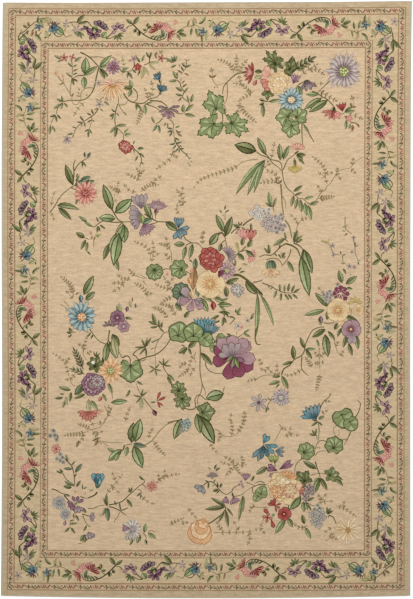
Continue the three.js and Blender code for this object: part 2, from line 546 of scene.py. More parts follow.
def stems(design, dye, rows):
    """Stems of one dye, a row each: the width, then right and down of every point."""
    for width, *points in rows:
        stem(design, np.reshape(points, (-1, 2)) / 10, dye, width * STEM_UNIT)


def ferns(design, rows):
    """Thin brown sprays, a row each: the leaf's length, the pairs, then right and down of every
    point."""
    for length, pairs, *points in rows:
        path = np.reshape(points, (-1, 2)) / 10
        spray(design, path, length / FERN_LEAF, pairs, "brown", TWIG, FERN_STEM, FERN_SPREAD, FERN_WIDTH)


def leaves(design, greens, *tables):
    """Leaves of one green, a row each: right and down of the foot, then of the tip. A share of
    width may stand before the rows."""
    width, rows = (SLIM, *tables)[-2:]
    for row in rows:
        foot, tip = np.reshape(row, (2, 2)) / 10
        run = tip - foot
        leaf(design, foot, math.hypot(*run), math.degrees(math.atan2(run[0], -run[1])), greens, width)


def flowers(design, rows):
    """Flowers, a row each: the kind, right and down, the reach, the turn in degrees, the dye, and
    what else that kind takes."""
    for kind, right, down, reach, turn, *rest in rows:
        kind(design, (right / 10, down / 10), reach / 10, turn, *rest)


# The woven bands, by how far in from the edge each begins, all round
BANDS = [
    # inset, dye
    (2.4, GUARD_EDGE),
    (2.8, GUARD_GROUND),
    (5.1, GUARD_EDGE),
    (5.6, BORDER_GROUND),
    (15.75, GUARD_EDGE),
    (16.1, GUARD_GROUND),
    (18.6, GUARD_EDGE),
    (19.05, GROUND),
]
BAND_STEPS = 24


def lay_band(design, inset, dye):
    """The whole rectangle inside an inset, its sides cut finely enough to follow the rug's."""
    right, foot = CHART_WIDTH - inset, CHART_LENGTH - inset
    corners = np.array([(inset, inset), (right, inset), (right, foot), (inset, foot), (inset, inset)])
    t = np.linspace(0, 1, BAND_STEPS, endpoint=False)[:, None]
    design.lay(np.concatenate([a + (b - a) * t for a, b in zip(corners[:-1], corners[1:])]), dye, uneven=0)


# One repeat of a guard stripe: along it from the repeat's start, and in from its centre line
GUARD_REPEAT = 10.4
GUARD_STROKES = [
    # points, dye, width
    ([(-1.0, 0.5), (-0.2, -0.6), (0.5, 0.5), (1.1, -0.5), (2.0, 0.6)], GUARD_DARK, 0.5),
    ([(0.0, -0.8), (1.6, -0.5), (3.2, 0.1)], GUARD_OLIVE, 0.42),
    ([(3.4, -0.8), (2.9, -0.1), (3.4, 0.8)], GUARD_DARK, 0.56),
    ([(3.2, 0.2), (4.0, -0.2), (4.7, 0.5), (5.6, 0.4)], GUARD_OLIVE, 0.42),
    ([(5.0, 0.7), (5.6, 0.1), (6.0, -0.8)], GUARD_ROSE, 0.5),
    ([(6.4, -0.5), (7.0, 0.4), (7.6, 0.2), (8.1, -0.6), (8.8, 0.4)], GUARD_ROSE, 0.42),
    ([(7.2, -0.8), (7.8, 0.9)], GUARD_OLIVE, 0.42),
    ([(9.2, -0.6), (9.6, 0.6), (10.0, -0.3)], GUARD_DARK, 0.42),
]
GUARD_PATCH = [(5.0, -0.95), (9.0, -0.95), (9.0, 0.95), (5.0, 0.95)]
GUARD_MIDDLES = (3.95, 17.4)


def guard_run(design, start, end, inwards):
    """One side of a guard stripe: whole repeats, stretched a little to fill the side, each with
    a blush patch under its strokes."""
    start, end = np.array(start, float), np.array(end, float)
    length = np.linalg.norm(end - start)
    count = round(length / GUARD_REPEAT)
    stretch = length / count / GUARD_REPEAT
    along = (end - start) / length
    for number in range(count):
        design.stand(start + along * number * length / count, (along * stretch, inwards))
        design.lay(np.array(GUARD_PATCH), GUARD_BLUSH)
        for points, dye, width in GUARD_STROKES:
            design.lay(ribbon(np.array(points, float), width, 0.7), dye, uneven=0.15)
    design.stand()


def lay_guards(design):
    """Both guard stripes, side by side round the rug from the head's left corner."""
    for inset in GUARD_MIDDLES:
        low, right, foot = inset, CHART_WIDTH - inset, CHART_LENGTH - inset
        guard_run(design, (low, low), (right, low), (0, 1))
        guard_run(design, (right, low), (right, foot), (-1, 0))
        guard_run(design, (right, foot), (low, foot), (0, -1))
        guard_run(design, (low, foot), (low, low), (1, 0))


# The border is one leafy vine. A unit of it is drawn along its run, with a distance to the
# right of the run, from the middle of a pair of purple flowers.

UNIT_STEMS = [
    # points, dye, width
    ([(-29.0, 1.2), (-27.6, 1.8), (-26.0, 1.0), (-24.6, 0.6)], VINE, 0.35),
    ([(-21.8, 3.6), (-19.8, 2.8), (-19.0, 1.6)], DARK_STEM, 0.53),
    ([(-17.8, 2.0), (-16.4, 3.0), (-15.0, 2.8), (-14.0, 1.8)], STEM, 0.43),
    ([(-17.0, -1.6), (-15.6, -0.4), (-14.0, 1.4), (-13.6, 2.4)], DARK_STEM, 0.45),
    ([(-13.8, 0.8), (-13.0, -0.4), (-13.2, -1.6)], TWIG, 0.33),
    ([(-13.8, 2.2), (-12.8, 3.2), (-11.4, 2.6), (-10.4, 2.4)], VINE, 0.35),
    ([(-11.4, -2.6), (-9.6, -3.0), (-8.2, -2.6)], STEM, 0.45),
    ([(-8.0, -2.2), (-6.2, -3.0), (-4.4, -3.2), (-3.0, -1.8), (-1.6, -0.2)], DARK_STEM, 0.5),
    ([(-10.6, -2.4), (-10.0, -1.2)], VINE, 0.33),
    ([(3.4, 3.8), (4.8, 2.6), (6.4, 1.0), (7.4, -0.6)], DARK_STEM, 0.5),
    ([(3.4, 3.9), (5.6, 3.6), (7.6, 2.4)], STEM, 0.45),
    ([(11.8, -0.2), (12.6, -1.2), (14.2, -1.6)], DARK_STEM, 0.43),
    ([(14.2, -2.2), (16.2, -0.2), (18.4, 1.8), (20.6, 3.2), (23.4, 4.3), (26.0, 4.4), (27.8, 3.4),
      (28.4, 1.8)], DARK_STEM, 0.58),
    ([(18.8, 1.8), (20.2, 0.8), (20.6, -1.0)], STEM, 0.35),
    ([(33.0, 0.8), (34.8, -0.4), (37.2, -1.2), (39.6, -0.6)], TWIG, 0.35),
    ([(30.6, 2.6), (32.2, 1.6), (33.6, 0.6)], TWIG, 0.35),
]
UNIT_LEAVES = [
    # s, c, length, turn, greens, width
    (-28.6, 0.6, 3.4, -8, "dark", 0.3),
    (-27.0, 0.4, 3.8, 14, "leaf", 0.3),
    (-24.6, -2.2, 3.4, 6, "dark", 0.3),
    (-22.4, -0.2, 4.7, -4, "pale", 0.3),
    (-21.4, 0.4, 4.0, 160, "pale", 0.38),
    (-25.8, 2.2, 2.7, 118, "leaf", 0.43),
    (-24.4, 2.6, 2.9, 152, "leaf", 0.4),
    (-26.8, 2.2, 2.9, 206, "gold", 0.43),
    (-19.6, -1.2, 2.1, -34, "brown", 0.25),
    (-18.6, -1.6, 2.2, 4, "brown", 0.25),
    (-17.8, -1.4, 2.9, 64, "brown", 0.28),
    (-17.4, -1.2, 5.2, 136, "fresh", 0.56),
    (-9.6, 0.8, 3.1, 142, "leaf", 0.38),
    (-8.6, 1.0, 3.8, 118, "leaf", 0.35),
    (-8.4, 0.6, 4.0, 148, "dark", 0.28),
    (-8.6, -2.6, 4.7, 44, "dark", 0.38),
    (-8.0, -2.2, 4.0, 78, "dark", 0.3),
    (-2.6, 1.0, 2.5, 40, "dark", 0.6),
    (0.4, 0.2, 2.7, -64, "dark", 0.6),
    (-1.4, -0.6, 2.2, 154, "fresh", 0.6),
    (1.8, 3.6, 3.1, 36, "fresh", 0.8),
    (8.2, 2.0, 2.7, 116, "dark", 0.33),
    (8.2, 2.2, 2.9, 146, "dark", 0.33),
    (8.0, 2.4, 2.9, 176, "leaf", 0.33),
    (7.8, 2.2, 2.7, 206, "leaf", 0.33),
    (8.4, 1.9, 2.5, 84, "leaf", 0.33),
    (14.4, -2.0, 3.6, -52, "dark", 0.4),
    (14.6, -2.0, 4.0, 36, "dark", 0.43),
    (15.8, -0.2, 1.9, 214, "dark", 0.8),
    (16.8, 0.8, 2.1, 176, "dark", 0.8),
    (20.2, 0.4, 1.8, -78, "leaf", 0.7),
    (20.4, -0.6, 2.1, 8, "brown", 0.7),
    (20.6, -0.2, 1.9, 56, "leaf", 0.7),
    (21.4, 3.8, 2.5, 58, "dark", 0.3),
    (22.8, 4.3, 2.7, 46, "dark", 0.3),
    (24.2, 4.4, 2.9, 36, "teal", 0.3),
    (25.6, 4.2, 3.1, 26, "dark", 0.3),
    (26.8, 3.6, 3.1, 6, "teal", 0.43),
    (27.4, 3.0, 3.4, -22, "teal", 0.43),
    (32.4, 1.4, 3.4, 70, "dark", 0.43),
    (33.2, 1.8, 3.6, 108, "dark", 0.43),
    (32.4, 2.0, 3.1, 148, "leaf", 0.38),
    (36.8, -1.0, 2.9, 14, "brown", 0.28),
    (39.4, -1.0, 3.1, -6, "leaf", 0.28),
    (40.8, 2.0, 2.0, 120, "rust", 0.6),
]
UNIT_DARK = [
    # s, c, radius
    (-4.2, -0.4, 0.5),
    (-1.9, 2.3, 0.55),
    (1.2, -2.3, 0.5),
    (-18.6, -0.6, 0.55),
    (8.6, -1.0, 0.4),
]


# Rings of petals, and where they are narrower than a line's width the dark lines on them
LINE_WIDTH = 0.7
UNIT_PETALS = [
    # s, c, turn, petals, reach, width, dye, spread
    (-24.4, -0.9, 20, 5, 2.0, 1.0, "blue", 360),
    (-24.3, -0.9, 55, 4, 1.2, 0.6, "blue", 360),
    (-18.2, -0.1, 20, 5, 2.3, 2.0, "blue", 360),
    (-18.0, -0.3, 30, 4, 1.7, 1.1, "navy", 360),
    (-18.2, -1.4, 0, 4, 2.1, 0.5, "orchid", 80),
    (-12.9, -2.1, 0, 5, 1.9, 0.8, "lilac", 360),
    (-8.7, 0.1, 30, 5, 2.1, 0.9, "lilac", 360),
    (-4.8, 0.2, 30, 5, 2.1, 1.3, "purple", 220),
    (-4.8, 0.0, 60, 3, 1.4, 0.6, "purple", 170),
    (1.0, -0.8, 30, 5, 3.3, 2.0, "purple", 150),
    (0.9, -0.6, 40, 4, 2.4, 0.55, "purple", 130),
    (-1.4, 1.8, 190, 6, 3.1, 1.6, "magenta", 250),
    (-1.5, 1.8, 170, 5, 2.2, 0.55, "purple", 230),
    (8.4, -0.4, -8, 5, 3.1, 1.5, "orchid", 250),
    (8.4, -0.4, -8, 4, 2.1, 0.5, "purple", 200),
    (24.6, 0.6, -48, 4, 3.5, 1.5, "coral", 104),
    (25.8, 0.6, 12, 4, 3.9, 1.7, "pink", 62),
    (27.6, 1.2, 52, 3, 3.2, 1.9, "pink", 50),
    (24.8, 0.5, -30, 7, 3.1, 0.5, "red", 150),
    (29.0, 1.6, 126, 5, 3.2, 0.9, "coral", 116),
    (28.8, 1.4, 126, 4, 2.4, 0.5, "red", 100),
    (31.2, -1.4, 26, 2, 2.4, 1.2, "pink", 24),
]


def border_unit(design, start, end):
    """One unit from its start to its end: a purple pair and its bud, two blue flowers behind
    it, and an orchid and a coral blossom ahead."""
    for row in UNIT_STEMS:
        if start < row[0][0][0] < end:
            stem(design, *row)
    lay_leaves(design, [row for row in UNIT_LEAVES if start < row[0] < end])
    for s, c, turn, petals, reach, width, dye, spread in UNIT_PETALS:
        if start < s < end:
            dyes = (DYES[dye][0],) * 3 if width < LINE_WIDTH else DYES[dye]
            ring(design, (s, c), turn, petals, reach, width, dyes, 0, 1.8, 0.7, spread=spread, jitter=0.16)
    for s, c, radius in UNIT_DARK:
        if start < s < end:
            design.lay(disc((s, c), radius), DYES["purple"][0])


# Where each unit stands on the chart and which way it runs. Half of the border is charted, and
# the other half is the same turned round the middle of the rug.
BORDER_MIDDLE = 10.9
RIGHT_MIDDLE = CHART_WIDTH - BORDER_MIDDLE + 0.4
BORDER_UNITS = [
    # right, down, run along, side, start, end
    (39.0, BORDER_MIDDLE, (1, 0), (0, 1), -26, 50),
    (106.2, BORDER_MIDDLE, (1, 0), (0, -1), -30, 50),
    (172.8, BORDER_MIDDLE, (1, 0), (0, 1), -32, -14),
    (RIGHT_MIDDLE, 24.6, (0, 1), (-1, 0), -12, 50),
    (RIGHT_MIDDLE, 90.9, (0, 1), (1, 0), -30, 50),
    (RIGHT_MIDDLE, 157.7, (0, 1), (-1, 0), -30, 50),
    (RIGHT_MIDDLE, 224.3, (0, 1), (1, 0), -30, 7),
]


def lay_leaves(design, rows):
    """Leaves by their place, length, turn, greens and share of width."""
    for right, down, length, turn, greens, width in rows:
        leaf(design, (right, down), length, turn, greens, width)


CORNER_LEAVES = [
    # right, down, length, turn, greens, width
    (10.4, 10.4, 2.4, -62, "brown", 0.5),
    (11.0, 10.0, 2.2, -14, "brown", 0.5),
    (10.2, 11.4, 2.0, 180, "brown", 0.5),
    (8.2, 12.8, 3.6, 146, "leaf", 0.42),
    (15.6, 6.8, 1.8, 170, "dark", 0.4),
    (14.4, 7.6, 1.6, 160, "dark", 0.4),
    (16.4, 6.6, 3.4, 126, "gold", 0.46),
    (17.2, 6.4, 3.2, 100, "pale", 0.4),
    (12.9, 10.8, 1.8, 214, "brown", 0.44),
    (13.9, 11.4, 2.0, 190, "brown", 0.44),
    (12.6, 11.6, 2.4, 200, "rust", 0.5),
]


def corner_spray(design):
    """The dark arching spray at the head's left corner, over the vine's end."""
    path = [(6.6, 14.6), (7.0, 13.2), (9.4, 11.6), (11.2, 9.8), (14.0, 7.6), (15.6, 6.6), (18.4, 6.4)]
    stem(design, path, DARK_STEM, 0.44)
    stem(design, [(19.6, 7.2), (19.4, 8.4), (18.2, 9.6)], TWIG, 0.4)
    stem(design, [(16.0, 12.2), (15.0, 13.4), (14.6, 15.0)], STEM, 0.4)
    lay_leaves(design, CORNER_LEAVES)


def turned_stem(design):
    """The stem at the head's right corner, which carries the vine round to the right side."""
    path = [(159.0, 10.6), (159.8, 13.6), (160.2, 17.0), (160.4, 19.6), (158.6, 21.8), (156.4, 22.6)]
    stem(design, path, DARK_STEM, 0.4)
    lay_leaves(design, [(160.2, 15.6, 4.0, 158, "dark", 0.28), (160.0, 15.6, 3.8, 184, "dark", 0.26)])
    star(design, (160.6, 8.4), 2.0, 10, "lilac", 5, 0.4)


def lay_border(design):
    """The vine's units and its corners, and then all of them turned half round."""
    for turned in (1, -1):
        corner = (0, 0) if turned == 1 else (CHART_WIDTH, CHART_LENGTH)
        for right, down, run, side, start, end in BORDER_UNITS:
            origin = np.array(corner) + turned * np.array([right, down])
            design.stand(origin, turned * np.array([run, side]))
            border_unit(design, start, end)
        design.stand(corner, turned * np.eye(2))
        corner_spray(design)
        turned_stem(design)
    design.stand()


def head_left(design):
    """Trailing sprays with red stars, a magenta head and an open honeysuckle."""
    stems(design, DARK_STEM, [
        (5, 320, 203, 360, 225, 397, 264), (4, 334, 298, 310, 300, 286, 312),
        (4, 604, 226, 602, 246, 580, 256),
    ])
    stems(design, STEM, [
        (3, 360, 223, 400, 222, 422, 229), (3, 448, 223, 462, 228, 470, 238),
        (3, 285, 238, 288, 270, 286, 310, 280, 360, 282, 384),
        (5, 397, 265, 388, 300, 380, 340, 370, 366, 350, 390, 325, 400, 280, 400, 250, 406),
        (3, 227, 300, 255, 335, 288, 386), (4, 248, 410, 230, 430, 224, 456),
        (4, 396, 435, 376, 460, 332, 490, 304, 516, 296, 540), (3, 384, 394, 400, 400, 416, 388, 428, 402),
        (3, 478, 388, 480, 420, 504, 456), (4, 475, 416, 466, 450, 466, 502, 498, 538, 498, 570),
        (5, 498, 372, 520, 400, 546, 410, 580, 412, 602, 396, 636, 386, 646, 372),
        (4, 538, 350, 554, 370, 554, 396, 540, 406), (4, 586, 414, 630, 430, 650, 446),
        (5, 606, 401, 646, 404, 668, 416, 680, 432), (3, 544, 244, 534, 274, 516, 282, 488, 282),
    ])
    stems(design, VINE, [
        (3, 380, 350, 345, 350, 324, 370, 324, 396, 310, 416, 296, 416, 287, 400, 288, 384),
        (3, 220, 460, 202, 496, 199, 535), (3, 370, 464, 367, 490, 357, 524),
        (3, 480, 420, 506, 416, 516, 400),
    ])
    stems(design, TWIG, [(3, 250, 310, 256, 336)])
    spray(design, [(49, 29.6), (50, 26.6), (49.4, 23.4)], 1.9, 4, "leaf", TWIG, 0.28)
    ferns(design, [
        (14, 3, 340, 408, 315, 430, 300, 456), (16, 5, 576, 432, 568, 460, 558, 488),
        (16, 3, 608, 388, 618, 356, 614, 330), (14, 3, 600, 396, 596, 374, 588, 358),
        (13, 2, 426, 350, 420, 370, 430, 394),
    ])
    leaves(design, "brown", [
        (320, 362, 312, 348), (320, 374, 305, 366), (322, 384, 305, 381), (252, 330, 234, 336),
        (288, 386, 294, 368), (338, 488, 342, 512), (402, 434, 416, 446),
    ])
    leaves(design, "dark", [
        (288, 312, 313, 324), (288, 312, 295, 341), (398, 268, 438, 307), (400, 272, 423, 314),
        (250, 406, 223, 394), (222, 460, 195, 469), (226, 458, 243, 478), (220, 462, 226, 491),
        (376, 458, 367, 434), (368, 462, 347, 451), (336, 486, 320, 463), (368, 480, 349, 491),
        (358, 518, 339, 529), (356, 524, 354, 554), (466, 450, 448, 435), (472, 510, 463, 553),
        (550, 412, 552, 442), (554, 414, 573, 442), (566, 246, 548, 219), (566, 276, 555, 300),
        (534, 274, 551, 291), (518, 284, 535, 313), (604, 228, 589, 202), (605, 228, 612, 201),
    ])
    leaves(design, "dark", BROAD, [(462, 454, 441, 466), (534, 350, 495, 346)])
    leaves(design, "fresh", [(398, 265, 449, 214), (500, 536, 520, 514), (586, 416, 589, 460)])
    leaves(design, "fresh", BROAD, [
        (340, 296, 343, 224), (336, 302, 338, 352), (502, 542, 531, 538), (534, 350, 523, 316),
    ])
    leaves(design, "gold", [(600, 252, 628, 275), (582, 260, 572, 315)])
    leaves(design, "leaf", [
        (242, 232, 212, 216), (244, 234, 225, 245), (296, 242, 326, 222), (286, 264, 269, 244),
        (290, 264, 309, 254), (290, 282, 312, 272), (290, 296, 311, 288), (286, 306, 261, 286),
        (400, 266, 437, 257), (334, 299, 392, 260), (250, 406, 245, 380), (250, 408, 242, 437),
        (254, 410, 270, 430), (244, 414, 211, 436), (206, 506, 221, 532), (200, 504, 196, 542),
        (330, 492, 308, 488), (328, 492, 328, 510), (306, 514, 288, 508), (294, 536, 268, 539),
        (296, 538, 290, 555), (368, 478, 382, 490), (358, 518, 370, 539), (396, 432, 377, 439),
        (418, 404, 442, 422), (500, 448, 512, 463), (458, 458, 450, 481), (470, 450, 480, 467),
        (470, 504, 512, 501), (468, 506, 443, 534), (590, 416, 618, 406), (572, 242, 583, 214),
        (516, 282, 513, 310), (490, 280, 521, 266),
    ])
    leaves(design, "leaf", BROAD, [(532, 354, 519, 386)])
    leaves(design, "pale", [(600, 248, 644, 243), (582, 264, 602, 301)])
    leaves(design, "rust", [(348, 386, 348, 370)])
    flowers(design, [
        (star, 254, 226, 19, 0, "red", 5, 0.5), (star, 288, 224, 17, 20, "red", 4, 0.5),
        (bud, 226, 298, 19, -30, "orange"), (bud, 250, 310, 17, 0, "orange"),
        (daisy, 456, 266, 34, 8, "magenta", "burgundy", 9),
        (spider, 452, 334, 64, 180, "orange", 15, 210, -0.5),
        (spider, 454, 338, 40, 0, "peach", 6, 130, 0.5), (star, 454, 334, 9, 0, "yellow", 5, 0.6),
        (star, 396, 330, 17, 0, "lilac"), (star, 400, 416, 19, 30, "lilac"),
        (star, 268, 556, 19, 10, "lilac"), (star, 540, 230, 18, 30, "orchid", 5, 0.5),
        (floret, 556, 264, 18, 0, "red"), (bud, 530, 238, 13, -80, "coral"),
    ])


def head_middle(design):
    """Two blue bells, a hanging vine, a half-open orchid and round leaves with many ferns."""
    stems(design, STEM, [
        (3, 648, 368, 650, 340, 644, 314), (3, 756, 234, 752, 266, 734, 294),
        (4, 718, 318, 730, 330, 734, 348, 746, 364, 740, 386, 754, 400, 768, 412, 762, 434, 746, 452),
        (3, 716, 452, 734, 456, 744, 454), (4, 658, 474, 644, 490, 628, 496),
        (3, 688, 478, 704, 496, 702, 516, 706, 540, 708, 578),
        (5, 1014, 288, 970, 290, 946, 304, 922, 328, 908, 346, 904, 374),
        (3, 922, 330, 924, 370, 920, 400, 904, 424), (5, 896, 440, 904, 460, 906, 486),
    ])
    stems(design, TWIG, [(3, 862, 314, 880, 338, 918, 328), (3, 910, 420, 918, 440, 916, 460)])
    ferns(design, [
        (15, 6, 950, 290, 940, 262, 916, 244, 892, 236), (15, 5, 964, 290, 960, 260, 960, 226),
        (15, 4, 970, 292, 980, 264, 998, 242), (19, 2, 862, 314, 862, 296, 859, 280),
        (13, 3, 970, 296, 974, 316, 986, 338), (14, 6, 1036, 366, 1014, 366, 986, 338, 956, 332),
        (14, 4, 1026, 370, 1000, 384, 976, 400), (15, 7, 978, 410, 986, 440, 1010, 464, 1036, 486),
        (14, 3, 974, 410, 966, 446, 956, 470), (17, 2, 620, 214, 634, 214, 648, 204),
    ])
    leaves(design, "brown", [
        (684, 240, 670, 242), (736, 332, 750, 318), (674, 490, 664, 506), (680, 492, 679, 512),
        (712, 520, 729, 540), (720, 536, 736, 526), (720, 538, 741, 549), (874, 340, 869, 354),
        (880, 340, 885, 354),
    ])
    leaves(design, "dark", [
        (752, 266, 735, 246), (744, 280, 732, 260), (738, 288, 718, 276), (716, 314, 718, 284),
        (738, 348, 758, 333), (740, 364, 710, 345), (740, 382, 709, 373), (708, 552, 729, 566),
        (1042, 308, 1065, 314),
    ])
    leaves(design, "dark", BROAD, [(1034, 284, 1070, 283)])
    leaves(design, "fresh", [(710, 242, 717, 217), (710, 514, 732, 504), (904, 484, 883, 549)])
    leaves(design, "leaf", [
        (708, 244, 692, 220), (704, 246, 668, 225), (708, 242, 705, 215), (714, 256, 688, 266),
        (750, 268, 774, 254), (718, 314, 699, 279), (718, 318, 682, 323), (746, 370, 764, 346),
        (738, 388, 721, 404), (766, 406, 758, 377), (774, 410, 784, 373), (752, 446, 785, 416),
        (748, 456, 793, 466), (626, 494, 613, 465), (638, 498, 618, 530), (700, 518, 675, 510),
        (700, 524, 687, 549), (714, 578, 741, 570), (710, 579, 686, 580),
    ])
    leaves(design, "leaf", BROAD, [(742, 450, 744, 416)])
    leaves(design, "pale", BROAD, [(1032, 309, 1065, 302)])
    leaves(design, "rust", [
        (726, 266, 729, 250), (746, 288, 768, 300), (754, 240, 747, 228), (758, 240, 769, 230),
        (752, 248, 739, 246), (732, 324, 734, 308),
    ])
    leaves(design, "teal", [(642, 500, 649, 535), (699, 522, 677, 531)])
    flowers(design, [
        (lobed_leaf, 872, 420, 40, -22, "fresh", 5, 0.2, 0.5, 1.34),
        (lobed_leaf, 856, 506, 42, -124, "fresh", 5, 0.2, 0.5, 1.3),
        (lobed_leaf, 954, 500, 42, 116, "fresh", 7, 0.2, 0.5, 1.3), (star, 652, 228, 18, 20, "red", 5, 0.5),
        (fan, 648, 322, 40, -24, "navy", 4, 40, 0.3, "leaf"), (fan, 648, 318, 30, -60, "blue", 2, 30, 0.3),
        (fan, 650, 370, 38, 12, "navy", 4, 60, 0.34, "leaf"), (fan, 652, 366, 30, 50, "blue", 2, 36, 0.3),
        (fan, 684, 432, 46, 180, "purple", 7, 200, 0.28), (fan, 684, 444, 36, 190, "orchid", 5, 110, 0.26),
        (fan, 682, 442, 34, 0, "purple", 2, 110, 0.22), (fan, 1032, 292, 48, -80, "red", 7, 140, 0.24),
        (fan, 1028, 292, 30, -76, "pink", 4, 60, 0.24), (bud, 1044, 316, 30, 208, "coral"),
    ])


def head_right(design):
    """A bouquet of a cream dahlia, peach petals and a blue aster, with a clematis and a sprig of
    coral bells beside it."""
    stems(design, DARK_STEM, [(4, 1214, 338, 1234, 328, 1254, 320)])
    stems(design, STEM, [
        (4, 1070, 404, 1090, 406, 1136, 398), (5, 1236, 500, 1254, 530, 1280, 574),
        (4, 1354, 312, 1322, 344, 1292, 374),
        (5, 1270, 366, 1292, 374, 1310, 388, 1336, 402, 1360, 430, 1368, 448),
        (3, 1370, 448, 1394, 460, 1406, 452), (4, 1428, 494, 1450, 498, 1458, 506),
    ])
    stems(design, VINE, [(5, 1230, 496, 1230, 540, 1234, 590)])
    spray(design, [(118.4, 29.4), (121.4, 26.8), (126.2, 23.8)], 3.8, 4, "dark", DARK_STEM, 0.6, 40,
          0.42, 0.3)
    ferns(design, [
        (16, 3, 1226, 298, 1256, 274, 1284, 260), (16, 4, 1254, 280, 1290, 278, 1314, 294),
        (15, 2, 1276, 344, 1294, 334, 1306, 334), (17, 4, 1298, 364, 1330, 382, 1364, 402),
        (16, 3, 1416, 468, 1444, 466, 1470, 478), (19, 2, 1430, 438, 1442, 418, 1436, 396),
    ])
    leaves(design, "dark", [(1404, 452, 1434, 429), (1362, 428, 1364, 454), (1050, 288, 1069, 281)])
    leaves(design, "dark", BROAD, [(1184, 294, 1189, 220), (1182, 304, 1155, 274), (1076, 412, 1053, 421)])
    leaves(design, "fresh", [(1298, 380, 1244, 378)])
    leaves(design, "fresh", BROAD, [(1210, 340, 1227, 391)])
    leaves(design, "leaf", [
        (1094, 408, 1139, 398), (1069, 416, 1071, 472), (1238, 504, 1259, 536), (1312, 392, 1239, 438),
        (1336, 402, 1256, 452), (1404, 452, 1448, 447), (1412, 484, 1409, 524),
    ])
    leaves(design, "leaf", BROAD, [(1234, 328, 1263, 323), (1078, 404, 1053, 396)])
    leaves(design, "pale", BROAD, [(1150, 276, 1133, 218), (1428, 498, 1421, 521)])
    leaves(design, "rust", BROAD, [(1404, 466, 1420, 483), (1454, 498, 1465, 517), (1438, 504, 1435, 532)])
    flowers(design, [
        (lobed_leaf, 1112, 244, 32, -34, "dark", 7, 0.26, 0.3, 1.4),
        (lobed_leaf, 1180, 268, 22, 24, "dark", 5, 0.26, 0.3, 1.5),
        (lobed_leaf, 1090, 370, 22, 186, "dark", 5, 0.24, 0.3, 1.2),
        (lobed_leaf, 1162, 470, 37, -96, "fresh"), (lobed_leaf, 1216, 466, 36, 60, "fresh"),
        (lobed_leaf, 1186, 516, 36, 190, "fresh"), (fan, 1104, 300, 44, -70, "peach", 3, 70, 0.66),
        (fan, 1104, 326, 44, -118, "coral", 3, 60, 0.56), (peony, 1134, 328, 58, 90, "cream", 0.74),
        (fan, 1194, 336, 46, 16, "orchid", 4, 50, 0.26), (fan, 1188, 330, 30, 60, "magenta", 2, 40, 0.26),
        (fan, 1246, 318, 50, 166, "purple", 4, 80, 0.28), (fan, 1246, 330, 34, 150, "lilac", 3, 50, 0.26),
        (daisy, 1186, 400, 58, 0, "blue", "cream", 17, 0.82, 0.24),
        (daisy, 1400, 286, 76, 10, "lilac", "lime", 19, 1, 0.19),
        (fan, 1356, 440, 48, 200, "coral", 5, 110, 0.26, "leaf"),
        (fan, 1352, 444, 34, 150, "red", 3, 60, 0.3), (floret, 1376, 464, 17, 0, "pink"),
        (fan, 1396, 450, 40, -10, "red", 4, 60, 0.26), (floret, 1424, 478, 15, 30, "pink"),
    ])


